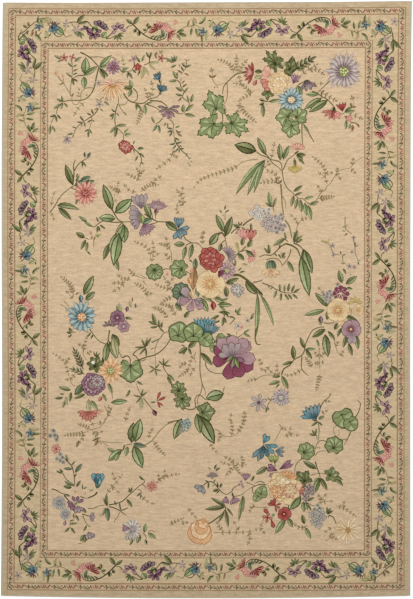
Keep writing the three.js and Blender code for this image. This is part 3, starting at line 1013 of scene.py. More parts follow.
def upper_left(design):
    """A coral dahlia over arched leaves, a red pink with its sprig, and a pansy with a thistle."""
    stems(design, STEM, [
        (4, 198, 860, 215, 838, 245, 790, 284, 758, 306, 746), (5, 292, 748, 297, 700, 295, 665, 303, 643),
        (4, 298, 690, 310, 668, 330, 650, 350, 637, 364, 624), (4, 286, 758, 302, 766, 312, 770),
        (4, 542, 598, 565, 620, 573, 645, 566, 672), (5, 452, 845, 465, 868, 478, 888, 498, 898, 530, 896),
        (4, 498, 898, 460, 900, 420, 894, 400, 903, 380, 918, 364, 910, 345, 900),
        (4, 492, 902, 475, 925, 462, 960), (4, 496, 900, 500, 930, 503, 960),
        (5, 585, 865, 610, 880, 638, 896, 670, 898, 686, 904), (4, 608, 908, 630, 902, 645, 896),
        (4, 604, 826, 612, 850, 620, 884), (3, 630, 860, 632, 886),
    ])
    ferns(design, [
        (14, 4, 570, 726, 546, 716, 518, 702), (13, 3, 560, 716, 569, 698, 580, 690),
        (13, 3, 572, 704, 564, 692, 556, 682), (13, 4, 492, 776, 470, 768, 450, 756),
        (13, 2, 472, 770, 478, 740), (13, 3, 552, 776, 524, 768, 506, 748),
        (14, 6, 570, 776, 585, 760, 605, 748, 636, 746), (14, 3, 618, 748, 624, 730, 648, 714),
        (12, 2, 486, 770, 462, 786, 468, 812), (11, 2, 206, 834, 206, 810, 216, 780),
        (10, 2, 202, 862, 212, 876, 214, 886),
    ])
    leaves(design, "dark", [
        (330, 650, 348, 673), (402, 910, 427, 928), (394, 914, 392, 944), (396, 914, 404, 938),
        (310, 800, 305, 829), (563, 615, 586, 634), (539, 580, 546, 564), (232, 838, 287, 890),
        (292, 748, 261, 662), (304, 734, 320, 706), (306, 716, 314, 698),
    ])
    leaves(design, "leaf", [
        (330, 650, 331, 676), (372, 918, 338, 896), (352, 900, 317, 874), (398, 900, 389, 876),
        (570, 650, 583, 664), (558, 626, 546, 650), (540, 598, 544, 617), (612, 882, 582, 816),
        (455, 852, 416, 742), (572, 660, 562, 672),
    ])
    leaves(design, "fresh", BROAD, [
        (464, 862, 536, 804), (468, 884, 398, 880), (556, 600, 584, 596), (502, 908, 503, 985),
    ])
    leaves(design, "teal", BROAD, [
        (300, 752, 334, 726), (322, 732, 366, 712), (344, 742, 382, 728), (342, 634, 340, 611),
        (352, 636, 366, 612), (572, 902, 620, 884),
    ])
    leaf(design, (22.6, 83.2), 9, 80, "leaf", 0.3, 0.35)
    flowers(design, [
        (fan, 268, 556, 26, 176, "lilac", 4, 90, 0.2),
        (daisy, 344, 782, 56, 20, "coral", "red", 13, 0.9, 0.24),
        (peony, 506, 590, 36, 12, "red", 0.8, "coral"), (thistle, 636, 852, 48, 6, "orchid", 12, 120),
        (bud, 632, 868, 24, 0, "burgundy", "leaf"), (fan, 574, 846, 66, -10, "lilac", 4, 56),
        (fan, 578, 868, 60, -92, "lilac", 4, 76, 0.4), (fan, 575, 890, 48, -120, "lilac", 3, 40, 0.4),
        (fan, 580, 905, 52, 150, "orchid", 7, 86, 0.3), (bud, 576, 904, 38, 2, "lime"),
        (fan, 724, 926, 50, 6, "blue", 4, 44), (fan, 724, 926, 46, 144, "blue", 4, 120, 0.46),
    ])
    leaves(design, "dark", BROAD, [(672, 896, 722, 934)])


def upper_middle(design):
    """Fine vines, three hanging strap leaves, and the head of a rose with its sprigs."""
    stems(design, DARK_STEM, [
        (4, 710, 560, 718, 580, 740, 608, 757, 622, 770, 642), (4, 940, 946, 962, 926, 980, 920),
        (5, 988, 914, 1010, 896, 1045, 879, 1085, 884), (4, 888, 952, 902, 944, 916, 962),
    ])
    stems(design, TWIG, [(3, 1050, 642, 1000, 649, 972, 664), (3, 916, 890, 916, 860)])
    ferns(design, [
        (15, 4, 706, 606, 694, 634, 674, 654, 642, 676), (14, 2, 700, 606, 716, 630),
        (14, 11, 990, 650, 972, 664, 950, 680, 920, 688, 895, 698, 860, 706, 815, 726, 792, 752),
        (12, 3, 728, 866, 716, 850, 720, 830), (14, 4, 746, 830, 746, 806, 732, 788, 722, 772),
        (13, 2, 738, 790, 742, 762), (15, 2, 744, 832, 732, 816), (12, 2, 824, 968, 818, 950, 828, 944),
    ])
    leaves(design, "teal", [
        (712, 576, 692, 580), (716, 582, 700, 600), (718, 576, 737, 570), (722, 588, 742, 588),
        (730, 596, 750, 600), (726, 594, 711, 611), (728, 598, 727, 616), (754, 618, 766, 620),
        (758, 622, 754, 634), (766, 640, 780, 634), (772, 648, 784, 654), (768, 652, 764, 664),
        (772, 660, 771, 675),
    ])
    leaves(design, "dark", [
        (916, 960, 945, 874), (1023, 936, 1023, 902), (915, 850, 918, 828), (916, 860, 934, 848),
        (904, 862, 893, 848), (906, 876, 910, 864), (978, 916, 970, 896), (980, 916, 986, 896),
        (880, 982, 886, 946),
    ])
    leaves(design, "dark", BROAD, [(1046, 609, 953, 582), (976, 920, 948, 908)])
    leaves(design, "leaf", [(914, 942, 878, 866), (982, 920, 1000, 930), (976, 924, 958, 950)])
    for length, turn, bend in ((18.5, 232, -0.22), (16.6, 214, -0.14), (14.6, 204, -0.1)):
        leaf(design, (108, 64.3), length, turn, "fresh", 0.15, bend)
    flowers(design, [(cluster, 1046, 864, 34, 0, "white", 7), (cluster, 1084, 862, 24, 40, "white", 5)])


def upper_right(design):
    """Oleander leaves on a long stem, a hanging spray of leaves, and a thin wandering vine."""
    stems(design, STEM, [
        (4, 1045, 612, 1060, 624, 1083, 632, 1100, 642, 1125, 649, 1144, 658, 1150, 690, 1156, 730, 1170,
         760, 1192, 780, 1215, 801, 1236, 806, 1252, 821, 1272, 828),
        (4, 1080, 618, 1095, 636, 1110, 658, 1132, 674, 1148, 690),
        (4, 1154, 686, 1162, 666, 1172, 646, 1186, 634, 1200, 624),
        (3, 1408, 880, 1408, 920, 1416, 936, 1436, 950), (3, 1112, 838, 1118, 860),
    ])
    stems(design, VINE, [
        (6, 1144, 745, 1148, 790, 1150, 830, 1158, 880), (6, 1162, 892, 1180, 920, 1190, 965),
        (3, 1152, 796, 1164, 820, 1163, 845),
    ])
    stems(design, TWIG, [
        (3, 1282, 820, 1298, 800, 1308, 782, 1326, 770, 1334, 754, 1350, 740, 1364, 716, 1376, 696, 1400,
         686, 1426, 682, 1438, 670, 1446, 656, 1482, 636),
        (3, 1196, 980, 1206, 940, 1214, 912, 1228, 892, 1232, 874),
    ])
    ferns(design, [
        (13, 3, 1104, 640, 1110, 614, 1116, 582), (14, 5, 1140, 738, 1120, 700, 1090, 690, 1076, 668),
        (18, 5, 1146, 754, 1134, 732, 1110, 730, 1070, 738), (13, 2, 1098, 670, 1092, 654),
        (13, 3, 1334, 746, 1326, 720, 1303, 700), (13, 6, 1328, 720, 1324, 686, 1310, 664, 1280, 638),
        (17, 5, 1298, 805, 1320, 803, 1354, 798), (13, 2, 1312, 780, 1304, 764, 1298, 756),
        (12, 3, 1212, 914, 1212, 900, 1200, 884, 1188, 873), (12, 2, 1228, 892, 1246, 886),
        (12, 2, 1374, 698, 1376, 686), (14, 2, 1436, 668, 1440, 648), (13, 2, 1432, 684, 1446, 698),
        (13, 2, 1328, 702, 1350, 700), (14, 2, 1372, 700, 1385, 722),
    ])
    leaves(design, "dark", [
        (1196, 776, 1234, 750), (1202, 790, 1232, 779), (1198, 624, 1220, 608), (1216, 640, 1242, 664),
        (1112, 838, 1080, 820), (1206, 608, 1209, 592), (1410, 940, 1394, 936), (1418, 946, 1404, 958),
        (1200, 640, 1203, 680),
    ])
    leaves(design, "dark", BROAD, [(1206, 626, 1246, 626), (1208, 628, 1236, 644)])
    leaves(design, "leaf", [
        (1142, 648, 1138, 578), (1152, 645, 1178, 586), (1198, 790, 1186, 838), (1214, 802, 1202, 848),
        (1224, 806, 1230, 862), (1083, 626, 1048, 552), (1408, 920, 1394, 920), (1410, 920, 1422, 910),
        (1112, 840, 1126, 800), (1266, 824, 1302, 818), (1260, 828, 1290, 830),
    ])
    leaves(design, "fresh", [
        (1240, 806, 1280, 796), (1242, 820, 1250, 876), (1256, 830, 1269, 894), (1104, 834, 1094, 776),
    ])
    flowers(design, [
        (fan, 1212, 606, 34, 4, "peach", 6, 130, 0.4), (fan, 1202, 668, 34, 178, "yellow", 7, 120, 0.4),
        (cluster, 1098, 908, 36, 0, "lilac", 9), (cluster, 1136, 888, 28, 30, "lilac", 6),
        (cluster, 1138, 922, 30, 70, "lilac", 7), (floret, 1136, 886, 12, 0, "white"),
    ])


def middle_left(design):
    """A blue daisy with two upright leaves, twisted tulip leaves, and round leaves among ferns."""
    stems(design, STEM, [
        (3, 344, 964, 360, 970), (4, 650, 1100, 672, 1090, 696, 1092), (4, 757, 1100, 776, 1112),
        (4, 463, 960, 450, 990, 438, 1015), (3, 526, 1246, 532, 1226), (4, 632, 1315, 648, 1330, 664, 1346),
    ])
    stems(design, TWIG, [
        (3, 378, 970, 378, 1008), (3, 548, 1117, 566, 1124, 586, 1130),
        (3, 240, 1235, 262, 1250, 264, 1272), (3, 256, 1223, 278, 1247), (3, 570, 1115, 594, 1130),
        (3, 580, 1140, 595, 1158), (3, 697, 1062, 695, 1020, 680, 996),
    ])
    ferns(design, [
        (14, 5, 612, 1044, 606, 1016, 585, 995, 552, 980), (13, 3, 624, 1030, 622, 1002, 620, 984),
        (13, 3, 616, 1062, 620, 1040, 640, 1030), (13, 3, 548, 1118, 534, 1108, 526, 1096),
        (14, 4, 530, 1136, 515, 1130, 495, 1130, 480, 1118), (14, 3, 506, 1146, 486, 1146, 462, 1148),
        (14, 3, 502, 1146, 486, 1166, 462, 1180), (15, 5, 604, 1200, 592, 1184, 576, 1166, 553, 1152),
        (13, 2, 588, 1196, 610, 1192), (16, 7, 296, 1200, 288, 1175, 280, 1154, 250, 1128),
        (14, 2, 294, 1214, 280, 1198, 270, 1186), (15, 4, 692, 1012, 676, 994, 655, 988),
        (14, 2, 682, 996, 676, 968), (15, 2, 690, 1050, 676, 1034),
        (14, 4, 698, 1180, 684, 1156, 668, 1128), (14, 4, 692, 1176, 662, 1166, 638, 1156),
        (13, 2, 680, 1150, 698, 1134), (14, 4, 700, 1205, 676, 1214, 655, 1230),
        (14, 4, 708, 1252, 682, 1240, 660, 1236), (14, 4, 664, 1274, 650, 1255, 628, 1250),
        (14, 3, 714, 1282, 700, 1260, 688, 1244), (13, 2, 676, 1292, 670, 1274),
        (15, 3, 824, 990, 823, 960, 826, 944),
    ])
    leaves(design, "dark", [
        (346, 970, 324, 1012), (350, 1018, 366, 1034), (442, 985, 417, 1054), (632, 1320, 617, 1272),
        (636, 1318, 600, 1304), (640, 1326, 607, 1331), (648, 1334, 643, 1298), (655, 1332, 659, 1306),
        (768, 1052, 783, 1063), (280, 1350, 276, 1328),
    ])
    leaves(design, "dark", BROAD, [(342, 963, 304, 941)])
    leaves(design, "leaf", [
        (352, 980, 347, 1020), (484, 1280, 471, 1240), (505, 1288, 536, 1297), (756, 996, 743, 1052),
        (783, 986, 770, 1050), (456, 1030, 481, 1098), (476, 940, 440, 1020), (302, 1196, 318, 1187),
    ])
    leaves(design, "leaf", 0.38, [(336, 1198, 377, 1117)])
    leaves(design, "leaf", BROAD, [(343, 1218, 383, 1183), (752, 989, 706, 989), (506, 1294, 526, 1292)])
    leaves(design, "fresh", 0.34, [(502, 905, 468, 1000), (482, 940, 458, 1078)])
    leaves(design, "pale", [(490, 1275, 480, 1228), (530, 1250, 524, 1216)])
    leaves(design, "teal", 0.4, [(548, 1250, 549, 1230), (795, 1046, 792, 1100)])
    leaves(design, "rust", [
        (372, 952, 366, 972), (384, 956, 376, 976), (790, 1080, 784, 1180), (536, 1226, 536, 1204),
    ])
    flowers(design, [
        (floret, 366, 944, 9, 0, "peach"), (fan, 394, 962, 20, 0, "lime", 4, 80, 0.3),
        (daisy, 328, 1288, 66, -4, "blue", "orange", 13), (bud, 326, 1230, 34, -4, "blue"),
        (lobed_leaf, 627, 1102, 35, 178, "fresh", 9, 0.06, 0.1),
        (lobed_leaf, 728, 1090, 38, -80, "fresh", 7, 0.1, 0.3),
        (lobed_leaf, 736, 1184, 38, 0, "teal", 9, 0.06, 0.1), (bud, 680, 1120, 17, 0, "pink"),
        (bud, 775, 1155, 34, -12, "orange"), (bud, 778, 1110, 22, 0, "peach"),
        (floret, 474, 1290, 32, 0, "magenta", 7), (bud, 512, 1268, 26, 10, "purple"),
        (fan, 440, 1324, 28, 0, "purple", 5, 170, 0.4), (floret, 500, 1326, 28, 20, "orchid", 6),
        (bud, 548, 1252, 14, 20, "lilac"),
    ])


def centre(design):
    """The middle bouquet: a red rose, a cream hibiscus, two lilac daisies and an orchid, with a
    teal fan below them."""
    stems(design, STEM, [
        (4, 744, 950, 756, 970, 780, 983, 800, 984, 815, 995, 828, 1012),
        (4, 778, 984, 760, 990, 754, 1002), (4, 886, 948, 902, 940, 914, 956, 920, 985, 925, 1005),
        (4, 915, 973, 902, 985, 896, 996), (4, 1002, 998, 985, 1015, 970, 1025, 955, 1045, 934, 1068),
        (4, 972, 1022, 1000, 1014, 1010, 1016),
        (10, 950, 1116, 976, 1117, 1008, 1138, 1035, 1165, 1050, 1188), (4, 957, 1293, 935, 1318),
    ])
    leaves(design, "dark", [
        (893, 1280, 858, 1296), (896, 1302, 870, 1311), (912, 1285, 904, 1326), (914, 1290, 921, 1314),
        (895, 1268, 938, 1272), (910, 1256, 913, 1288), (912, 1264, 888, 1268), (914, 1268, 932, 1290),
        (918, 1148, 974, 1128), (920, 1150, 955, 1152), (960, 1080, 944, 1064),
    ])
    leaves(design, "dark", BROAD, [
        (1002, 1016, 1035, 1042), (968, 1026, 995, 1056), (923, 1206, 920, 1162), (712, 1230, 738, 1262),
        (748, 1290, 770, 1262), (1008, 1003, 1028, 970), (985, 996, 990, 962), (902, 986, 892, 1020),
    ])
    leaves(design, "leaf", [
        (932, 1285, 958, 1292), (965, 1280, 980, 1247), (966, 1280, 983, 1276), (960, 1076, 957, 1050),
        (970, 1100, 985, 1084), (974, 1106, 1000, 1100), (885, 1236, 946, 1238), (890, 1228, 930, 1211),
        (893, 1242, 920, 1264), (1020, 1300, 1035, 1270), (1016, 1298, 1034, 1290),
    ])
    leaves(design, "leaf", BROAD, [(852, 994, 888, 942), (870, 1206, 910, 1226), (962, 1272, 960, 1254)])
    leaves(design, "teal", BROAD, [(802, 1162, 806, 1206), (716, 1226, 742, 1240)])
    leaves(design, "gold", [(962, 980, 972, 1024), (985, 1070, 1010, 1075)])
    leaves(design, "dark", 0.22, [(806, 1180, 872, 1232)])
    flowers(design, [
        (fan, 924, 1034, 40, 62, "lilac", 12, 190, 0.2), (daisy, 924, 1098, 40, 0, "orchid", "lime", 12),
        (mallow, 854, 1152, 62, 24, "cream", "orange"), (peony, 856, 1050, 55, 0, "red"),
        (fan, 888, 1100, 28, 130, "burgundy", 4, 80, 0.4), (peony, 964, 1176, 31, 0, "white"),
        (leaf, 812, 1206, 70, 150, "fresh", 0.44), (bud, 868, 1262, 40, 0, "red"),
        (fan, 830, 1366, 84, -14, "teal_blue", 10, 96, 0.2), (fan, 846, 1368, 62, 20, "blue", 7, 60, 0.24),
        (fan, 782, 1214, 62, -70, "lilac", 2, 60, 0.6), (fan, 784, 1212, 56, 196, "orchid", 3, 120, 0.6),
        (fan, 784, 1214, 38, 112, "lilac", 2, 40, 0.4), (bud, 782, 1212, 36, -4, "cream"),
        (star, 970, 1324, 22, 20, "white"), (star, 1008, 1302, 15, 0, "lilac"),
        (star, 984, 1330, 15, 40, "pink"),
    ])


def middle_right(design):
    """Roses and strap leaves, a drooping yellow bell, and a cream pansy with burgundy behind it."""
    stems(design, STEM, [
        (5, 1165, 988, 1145, 1000, 1125, 1020, 1105, 1035, 1078, 1034, 1058, 1042),
        (7, 1165, 988, 1190, 996, 1212, 1012, 1224, 1040),
        (4, 1186, 1010, 1180, 1035, 1166, 1060, 1148, 1080),
        (4, 1068, 1148, 1100, 1160, 1130, 1177, 1160, 1188, 1190, 1190, 1213, 1186),
        (4, 1320, 1313, 1340, 1315, 1365, 1312), (3, 1345, 995, 1362, 1030, 1385, 1036),
        (3, 1398, 1040, 1400, 1075), (3, 1440, 960, 1448, 1000, 1450, 1030, 1462, 1060),
    ])
    stems(design, VINE, [
        (4, 1085, 1054, 1105, 1048, 1130, 1050, 1146, 1066, 1150, 1080),
        (4, 1198, 940, 1204, 965, 1200, 985), (3, 1420, 1240, 1434, 1262, 1430, 1286),
    ])
    stems(design, DARK_STEM, [
        (4, 1032, 1145, 1050, 1143, 1072, 1135), (4, 1159, 968, 1175, 980),
        (5, 1198, 986, 1222, 998, 1238, 1016), (8, 1000, 1132, 1030, 1156, 1060, 1185),
    ])
    ferns(design, [
        (12, 2, 1320, 1194, 1302, 1172), (13, 2, 1112, 1170, 1098, 1164), (12, 3, 1160, 1050, 1150, 1030),
    ])
    leaves(design, "dark", [
        (1198, 986, 1214, 932), (1206, 986, 1236, 970), (1098, 1030, 1076, 1004), (1100, 1028, 1093, 989),
        (1142, 990, 1136, 1010), (1174, 1186, 1180, 1149), (1188, 1188, 1202, 1156),
        (1196, 1190, 1224, 1172), (1146, 1189, 1144, 1222), (1160, 1193, 1178, 1220),
        (1174, 1194, 1192, 1218), (1192, 1194, 1215, 1215), (1400, 1090, 1413, 1116),
        (1150, 1046, 1163, 1022), (1408, 1282, 1468, 1318), (1234, 1012, 1258, 1098),
    ])
    leaves(design, "dark", BROAD, [
        (1000, 1140, 1046, 1196), (1050, 1184, 1072, 1200), (1364, 1342, 1383, 1310),
    ])
    leaves(design, "leaf", [
        (1204, 982, 1234, 954), (1162, 966, 1114, 996), (1166, 970, 1160, 940), (1142, 1184, 1140, 1151),
        (1160, 1186, 1160, 1156), (1128, 1178, 1115, 1212), (1116, 1024, 1130, 1042),
        (1133, 1030, 1147, 1050), (1172, 1058, 1198, 1106), (1348, 1250, 1284, 1190),
        (1450, 1006, 1450, 984), (1452, 1004, 1464, 994), (1460, 1060, 1475, 1060),
        (1460, 1062, 1465, 1080), (1392, 1036, 1389, 1018), (1395, 1038, 1412, 1034),
        (1398, 1074, 1388, 1066), (1400, 1074, 1412, 1064), (1238, 1010, 1274, 1112),
    ])
    leaves(design, "leaf", 0.42, [
        (1396, 1152, 1382, 1098), (1334, 1302, 1342, 1254), (1410, 1156, 1458, 1123),
    ])
    leaves(design, "fresh", 0.26, [(1226, 1036, 1262, 1206), (1326, 1260, 1240, 1282)])
    leaves(design, "fresh", BROAD, [(1412, 1172, 1440, 1176), (1426, 1116, 1436, 1118)])
    leaves(design, "gold", [(1344, 986, 1308, 977), (1342, 980, 1340, 966), (1346, 990, 1334, 996)])
    leaf(design, (104.8, 118.4), 20, 176, "fresh", 0.1, 0.12)
    leaf(design, (106, 119.4), 14.2, 146, "fresh", 0.12, 0.2)
    leaves(design, "teal", BROAD, [
        (1100, 1054, 1086, 1094), (1106, 1054, 1124, 1092), (1101, 1056, 1099, 1099),
        (1105, 1056, 1112, 1099),
    ])
    flowers(design, [
        (fan, 994, 978, 52, 0, "pink", 4, 50, 0.44), (fan, 1018, 978, 52, 8, "coral", 3, 40, 0.4),
        (fan, 1012, 1034, 34, 112, "pink", 6, 120, 0.36), (fan, 1104, 1086, 46, 182, "cream", 5, 110, 0.4),
        (fan, 1104, 1094, 26, 180, "peach", 3, 60, 0.3), (cluster, 1338, 1206, 28, 20, "lilac", 8),
        (star, 1357, 998, 16, 0, "lilac"), (star, 1360, 1036, 14, 30, "lilac"),
        (star, 1444, 966, 13, 0, "lilac"), (star, 1436, 1024, 13, 40, "lilac"),
        (star, 1426, 1082, 17, 0, "lilac"), (star, 1446, 1086, 14, 50, "orchid"),
        (star, 1378, 1156, 15, 0, "lilac"), (fan, 1450, 1232, 30, 0, "yellow", 5, 180, 0.4),
        (mallow, 1462, 1262, 26, 0, "cream", "peach"), (dahlia, 1390, 1194, 36, 0, "burgundy", 8, 1, 3),
        (bud, 1416, 1286, 46, 6, "cream"), (mallow, 1378, 1262, 50, 0, "cream", "orange"),
        (fan, 1402, 1300, 34, 190, "cream", 3, 70, 0.5), (bud, 1308, 1318, 34, 0, "purple", "pale"),
    ])


def lower_left(design):
    """A purple chrysanthemum with a pale orange daisy, a vine leaf, and palm-shaped leaves."""
    stems(design, STEM, [
        (4, 360, 1335, 376, 1360, 400, 1386, 430, 1400), (5, 442, 1340, 438, 1370, 433, 1400),
        (4, 436, 1382, 446, 1396, 458, 1424), (3, 288, 1350, 306, 1350),
        (3, 478, 1425, 486, 1440, 492, 1454), (4, 538, 1440, 555, 1423, 588, 1410),
        (4, 614, 1392, 630, 1384, 650, 1373, 666, 1352, 692, 1346),
        (5, 562, 1462, 580, 1456, 600, 1449, 625, 1443, 645, 1432, 670, 1410, 690, 1380, 702, 1365),
        (4, 536, 1442, 548, 1446, 562, 1463, 575, 1467, 592, 1460), (4, 645, 1320, 650, 1336, 665, 1350),
        (3, 610, 1420, 627, 1413), (4, 662, 1486, 666, 1500, 680, 1520, 696, 1540),
        (3, 450, 1590, 454, 1622),
    ])
    stems(design, VINE, [
        (3, 645, 1376, 634, 1400, 628, 1425, 630, 1460, 630, 1495), (3, 572, 1610, 560, 1585, 550, 1556),
        (4, 580, 1618, 605, 1650, 620, 1668),
    ])
    stems(design, TWIG, [
        (3, 334, 1420, 334, 1440, 350, 1468), (3, 278, 1540, 286, 1560, 300, 1570),
        (3, 420, 1650, 435, 1680, 430, 1700, 420, 1722), (3, 338, 1344, 360, 1352),
    ])
    ferns(design, [
        (13, 4, 335, 1430, 340, 1402, 348, 1370), (13, 2, 338, 1410, 320, 1402),
        (12, 6, 276, 1530, 268, 1505, 262, 1480, 240, 1455, 215, 1440),
        (13, 3, 300, 1520, 284, 1540, 268, 1544), (12, 2, 262, 1474, 274, 1460),
        (13, 2, 436, 1682, 446, 1666), (12, 3, 432, 1696, 440, 1680, 438, 1656),
        (14, 3, 506, 1714, 512, 1690, 522, 1665), (12, 2, 350, 1440, 362, 1430),
    ])
    palm_leaf(design, 590, 1412, 40, (-26, 10, 176, 222))
    palm_leaf(design, 590, 1410, 46, (30, -92))
    palm_leaf(design, 628, 1500, 30, (-58, 240, 164, 108, 40))
    palm_leaf(design, 665, 1486, 32, (-48, -4, 40, 92))
    palm_leaf(design, 571, 1614, 34, (-78, -140, 14, 50))
    palm_leaf(design, 571, 1614, 50, (184, 172), "pale")
    palm_leaf(design, 385, 1452, 26, (-22, 12, 46))
    spray(design, [(33.4, 150.2), (31.8, 146.6), (30.2, 143.2)], 3.2, 5, "dark", DARK_STEM, 0.4, 34, 0.3)
    spray(design, [(33.9, 152.2), (31.6, 151.0), (29.8, 150.4)], 3.0, 3, "leaf", DARK_STEM, 0.4, 34, 0.3)
    leaves(design, "dark", [
        (290, 1350, 281, 1332), (288, 1358, 270, 1373), (366, 1350, 350, 1370), (375, 1358, 364, 1378),
        (440, 1386, 476, 1464), (256, 1604, 235, 1602), (252, 1618, 216, 1622), (284, 1594, 278, 1636),
        (342, 1602, 297, 1622), (553, 1550, 578, 1566), (520, 1588, 516, 1598), (678, 1530, 698, 1566),
        (526, 1584, 512, 1614), (512, 1602, 508, 1616),
    ])
    leaves(design, "dark", BROAD, [(288, 1352, 264, 1350), (452, 1356, 482, 1408), (336, 1562, 298, 1608)])
    leaves(design, "leaf", [
        (434, 1388, 422, 1477), (284, 1588, 232, 1574), (262, 1626, 249, 1661), (412, 1600, 430, 1634),
        (436, 1556, 453, 1602), (678, 1520, 709, 1549),
    ])
    leaves(design, "teal", BROAD, [(326, 1576, 300, 1602), (424, 1476, 412, 1450)])
    leaves(design, "pale", 0.34, [(456, 1365, 474, 1458), (262, 1612, 268, 1650), (356, 1622, 357, 1688)])
    leaves(design, "fresh", 0.34, [(446, 1638, 516, 1630), (366, 1628, 394, 1672), (632, 1634, 608, 1636)])
    flowers(design, [
        (lobed_leaf, 528, 1503, 50, 180, "fresh", 5, 0.08, 0.55),
        (lobed_leaf, 384, 1482, 32, 20, "dark", 7, 0.16, 0.2),
        (daisy, 446, 1508, 56, 0, "orange", "lime", 11), (dahlia, 374, 1564, 50, 0, "magenta", 14, 1, 4),
        (dahlia, 392, 1552, 32, 20, "lilac", 10, 1, 3), (bud, 412, 1612, 26, 218, "coral"),
        (fan, 354, 1674, 44, 180, "coral", 8, 170), (fan, 392, 1664, 26, 142, "peach", 4, 60, 0.3),
        (bud, 618, 1664, 32, 150, "burgundy"), (fan, 634, 1632, 42, 44, "red", 2, 44, 0.3),
        (fan, 636, 1632, 30, 140, "red", 2, 30, 0.3), (disc_heart, 374, 1474, 8, 0, "white"),
    ])
    stem(design, [(49.4, 145.4), (51.4, 144.6), (52.7, 146.2), (52.6, 150.0)], DARK_STEM, 0.5)


def lower_middle(design):
    """A great pansy over round leaves, lobed leaves down a stem, and fine brown ferns."""
    stems(design, STEM, [
        (4, 812, 1390, 814, 1425, 813, 1470, 813, 1510, 819, 1550, 822, 1566, 816, 1596, 804, 1620, 802,
         1645),
        (3, 823, 1563, 832, 1585, 836, 1606), (4, 834, 1472, 838, 1490, 850, 1506, 875, 1518, 908, 1518),
        (4, 752, 1660, 770, 1666, 790, 1662, 795, 1650, 792, 1625, 800, 1610, 812, 1605, 825, 1616, 840,
         1625, 870, 1624, 900, 1606, 913, 1574),
        (4, 680, 1720, 705, 1712, 730, 1708), (4, 852, 1350, 866, 1374, 878, 1390),
        (3, 970, 1370, 990, 1356),
    ])
    stems(design, TWIG, [(3, 795, 1430, 790, 1455, 796, 1475), (3, 963, 1362, 964, 1346)])
    ferns(design, [
        (13, 4, 788, 1440, 776, 1460, 768, 1490, 762, 1504), (13, 3, 760, 1478, 744, 1478, 732, 1490),
        (13, 4, 768, 1500, 752, 1512, 730, 1528), (13, 2, 792, 1496, 780, 1508, 776, 1520),
        (12, 2, 936, 1716, 940, 1690), (13, 3, 994, 1722, 992, 1704, 994, 1680),
    ])
    leaves(design, "dark", [
        (816, 1432, 864, 1485), (765, 1412, 778, 1444), (750, 1418, 745, 1444), (868, 1396, 890, 1376),
        (922, 1354, 950, 1372), (752, 1408, 736, 1400),
    ])
    leaves(design, "dark", BROAD, [(762, 1412, 724, 1436), (764, 1412, 800, 1386), (940, 1450, 905, 1440)])
    leaves(design, "leaf", [(990, 1356, 1016, 1338), (993, 1356, 1022, 1370)])
    leaves(design, "fresh", 0.6, [(912, 1600, 836, 1618)])
    flowers(design, [
        (lobed_leaf, 726, 1350, 44, 10, "fresh", 5, 0.05, 0.1),
        (lobed_leaf, 786, 1352, 42, 0, "fresh", 5, 0.05, 0.1),
        (lobed_leaf, 838, 1380, 31, 140, "fresh", 3, 0.06, 0.3),
        (lobed_leaf, 910, 1384, 33, 200, "fresh", 3, 0.08, 0.4),
        (lobed_leaf, 870, 1412, 20, 200, "fresh", 3, 0.08, 0.4),
        (lobed_leaf, 724, 1582, 30, -8, "leaf", 7, 0.16, 0.2),
        (lobed_leaf, 741, 1630, 33, 176, "leaf", 7, 0.16, 0.2),
        (lobed_leaf, 834, 1676, 38, 84, "leaf", 5, 0.12, 0.3),
        (fan, 948, 1450, 84, -84, "burgundy", 2, 44, 0.62),
        (fan, 950, 1450, 92, 160, "burgundy", 3, 74, 0.6), (fan, 948, 1450, 90, 74, "orchid", 2, 50, 0.6),
        (fan, 946, 1446, 88, 2, "orchid", 3, 84, 0.6), (fan, 940, 1446, 50, -66, "lilac", 2, 40, 0.5),
        (fan, 946, 1448, 60, -4, "lilac", 3, 70, 0.46), (fan, 950, 1452, 50, 150, "magenta", 3, 80, 0.4),
    ])
    leaves(design, "leaf", [(952, 1444, 918, 1474), (954, 1450, 948, 1496), (957, 1450, 972, 1500)])


